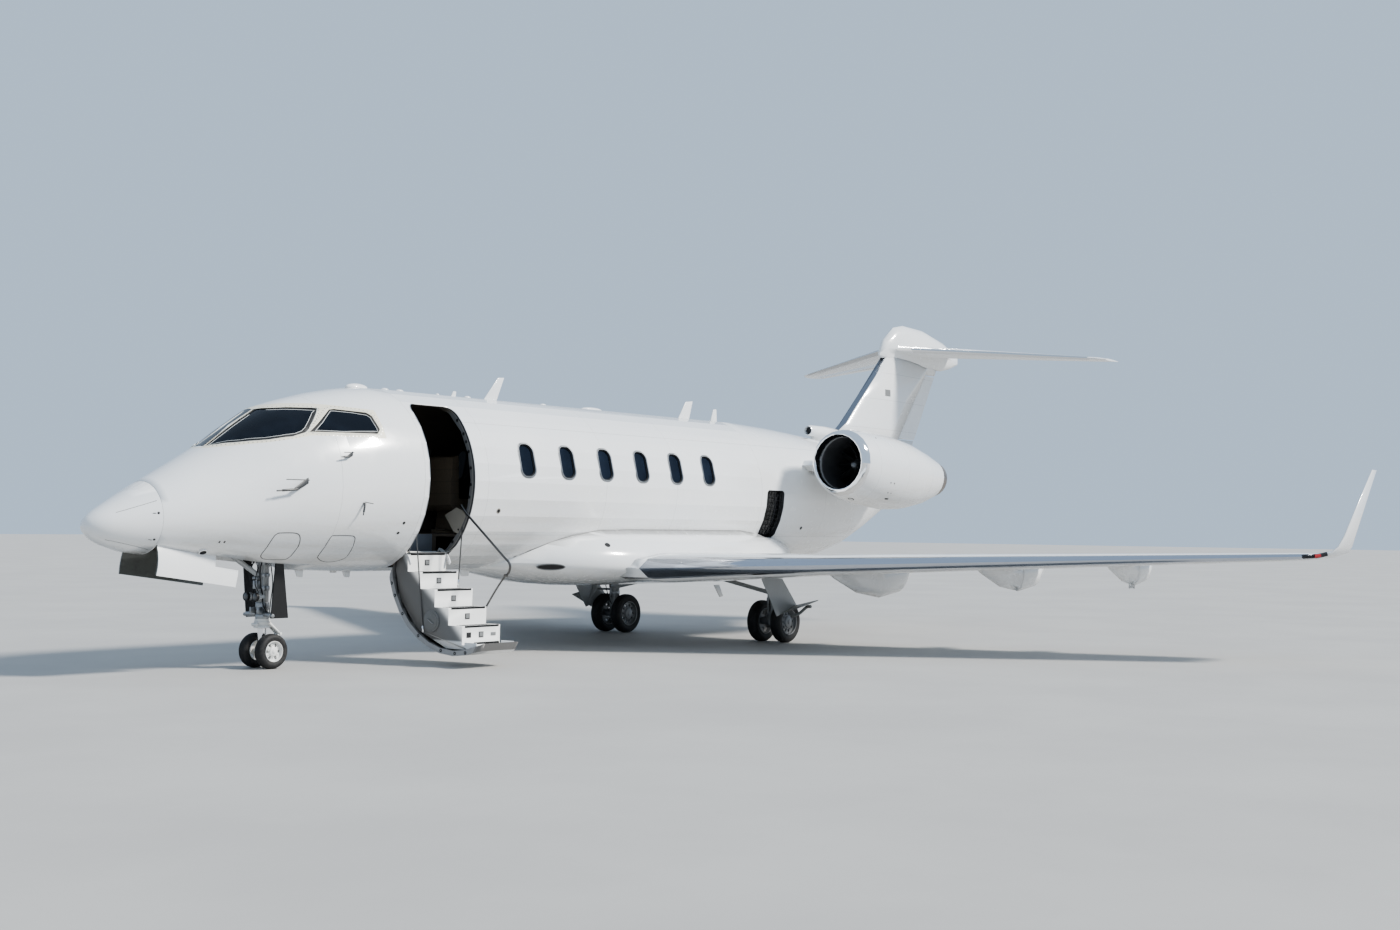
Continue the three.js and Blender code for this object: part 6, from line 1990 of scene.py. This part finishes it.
class JET_OT_stage(bpy.types.Operator):
    """Sets up the floor, the light and the camera"""

    bl_idname = "jet.stage"
    bl_label = "Stage"

    def execute(self, context):
        leave_edit()
        bpy.ops.object.select_all(action="DESELECT")
        bpy.ops.mesh.primitive_plane_add(size=FLOOR_SIZE, location=(0, 0, 0))
        floor = context.object
        floor.name = "studio_floor"
        floor.data.materials.append(finishes["floor"])
        look = context.scene.jet_stage
        world = bpy.data.worlds.new("studio_air")
        world.use_nodes = True
        world.node_tree.nodes["Background"].inputs["Color"].default_value = (*look.backdrop, 1.0)
        world.node_tree.nodes["Background"].inputs["Strength"].default_value = look.fill_strength
        context.scene.world = world
        context.scene.view_settings.look = "AgX - Medium High Contrast"
        toward_sun = Vector((0.40, -0.66, 0.64)).normalized()
        bpy.ops.object.light_add(type="SUN", location=toward_sun * 30)
        sun = context.object
        sun.name = "key_light"
        sun.data.energy = look.sun_strength
        sun.data.angle = math.radians(SUN_SPREAD)
        sun.data.color = (1.0, 0.97, 0.92)
        sun.rotation_mode = "QUATERNION"
        sun.rotation_quaternion = toward_sun.to_track_quat("Z", "Y")
        yaw = math.radians(CAMERA["yaw"])
        pitch = CAMERA["pitch"]
        ahead = Vector((math.cos(yaw) * math.cos(pitch), math.sin(yaw) * math.cos(pitch), math.sin(pitch)))
        right = Vector((math.sin(yaw), -math.cos(yaw), 0))
        up = right.cross(ahead)
        turn, lean = math.cos(CAMERA["roll"]), math.sin(CAMERA["roll"])
        right, up = right * turn + up * lean, up * turn - right * lean
        bpy.ops.object.camera_add(location=CAMERA["place"])
        camera = context.object
        camera.name = "photo_camera"
        camera.rotation_mode = "QUATERNION"
        camera.rotation_quaternion = Matrix((right, up, -ahead)).transposed().to_quaternion()
        camera.data.sensor_width = SENSOR_WIDTH
        camera.data.lens = CAMERA["focal_px"] / PHOTO_WIDTH * SENSOR_WIDTH
        camera.data.clip_end = 1000.0
        context.scene.camera = camera
        return {"FINISHED"}


class JET_PT_workshop(bpy.types.Panel):
    """Lists the pieces of the jet"""

    bl_idname = "JET_PT_workshop"
    bl_label = "Business jet"
    bl_space_type = "VIEW_3D"
    bl_region_type = "UI"
    bl_category = "Jet"

    def draw(self, context):
        for group in (context.scene.jet_sizes, context.scene.jet_stage):
            for name in group.__annotations__:
                self.layout.prop(group, name)
        for operator in OPERATORS:
            self.layout.operator(operator.bl_idname)


OPERATORS = (
    JET_OT_hull, JET_OT_wings, JET_OT_engines, JET_OT_interior, JET_OT_gear, JET_OT_stair, JET_OT_glass,
    JET_OT_windows, JET_OT_cockpit_trim, JET_OT_doorway, JET_OT_stair_fittings, JET_OT_wheels,
    JET_OT_nose_leg_fittings, JET_OT_main_leg_fittings, JET_OT_nose_fittings, JET_OT_aerials, JET_OT_lamps,
    JET_OT_baggage, JET_OT_tail_fittings, JET_OT_stage,
)
CLASSES = (JetSizes, JetStage, *OPERATORS, JET_PT_workshop)


def register():
    for each in CLASSES:
        bpy.utils.register_class(each)
    bpy.types.Scene.jet_sizes = PointerProperty(type=JetSizes)
    bpy.types.Scene.jet_stage = PointerProperty(type=JetStage)


def unregister():
    del bpy.types.Scene.jet_stage
    del bpy.types.Scene.jet_sizes
    for each in reversed(CLASSES):
        bpy.utils.unregister_class(each)


def main():
    register()
    mix_finishes()
    for operator in OPERATORS:
        group, name = operator.bl_idname.split(".")
        getattr(getattr(bpy.ops, group), name)()


if __name__ == "__main__":
    main()
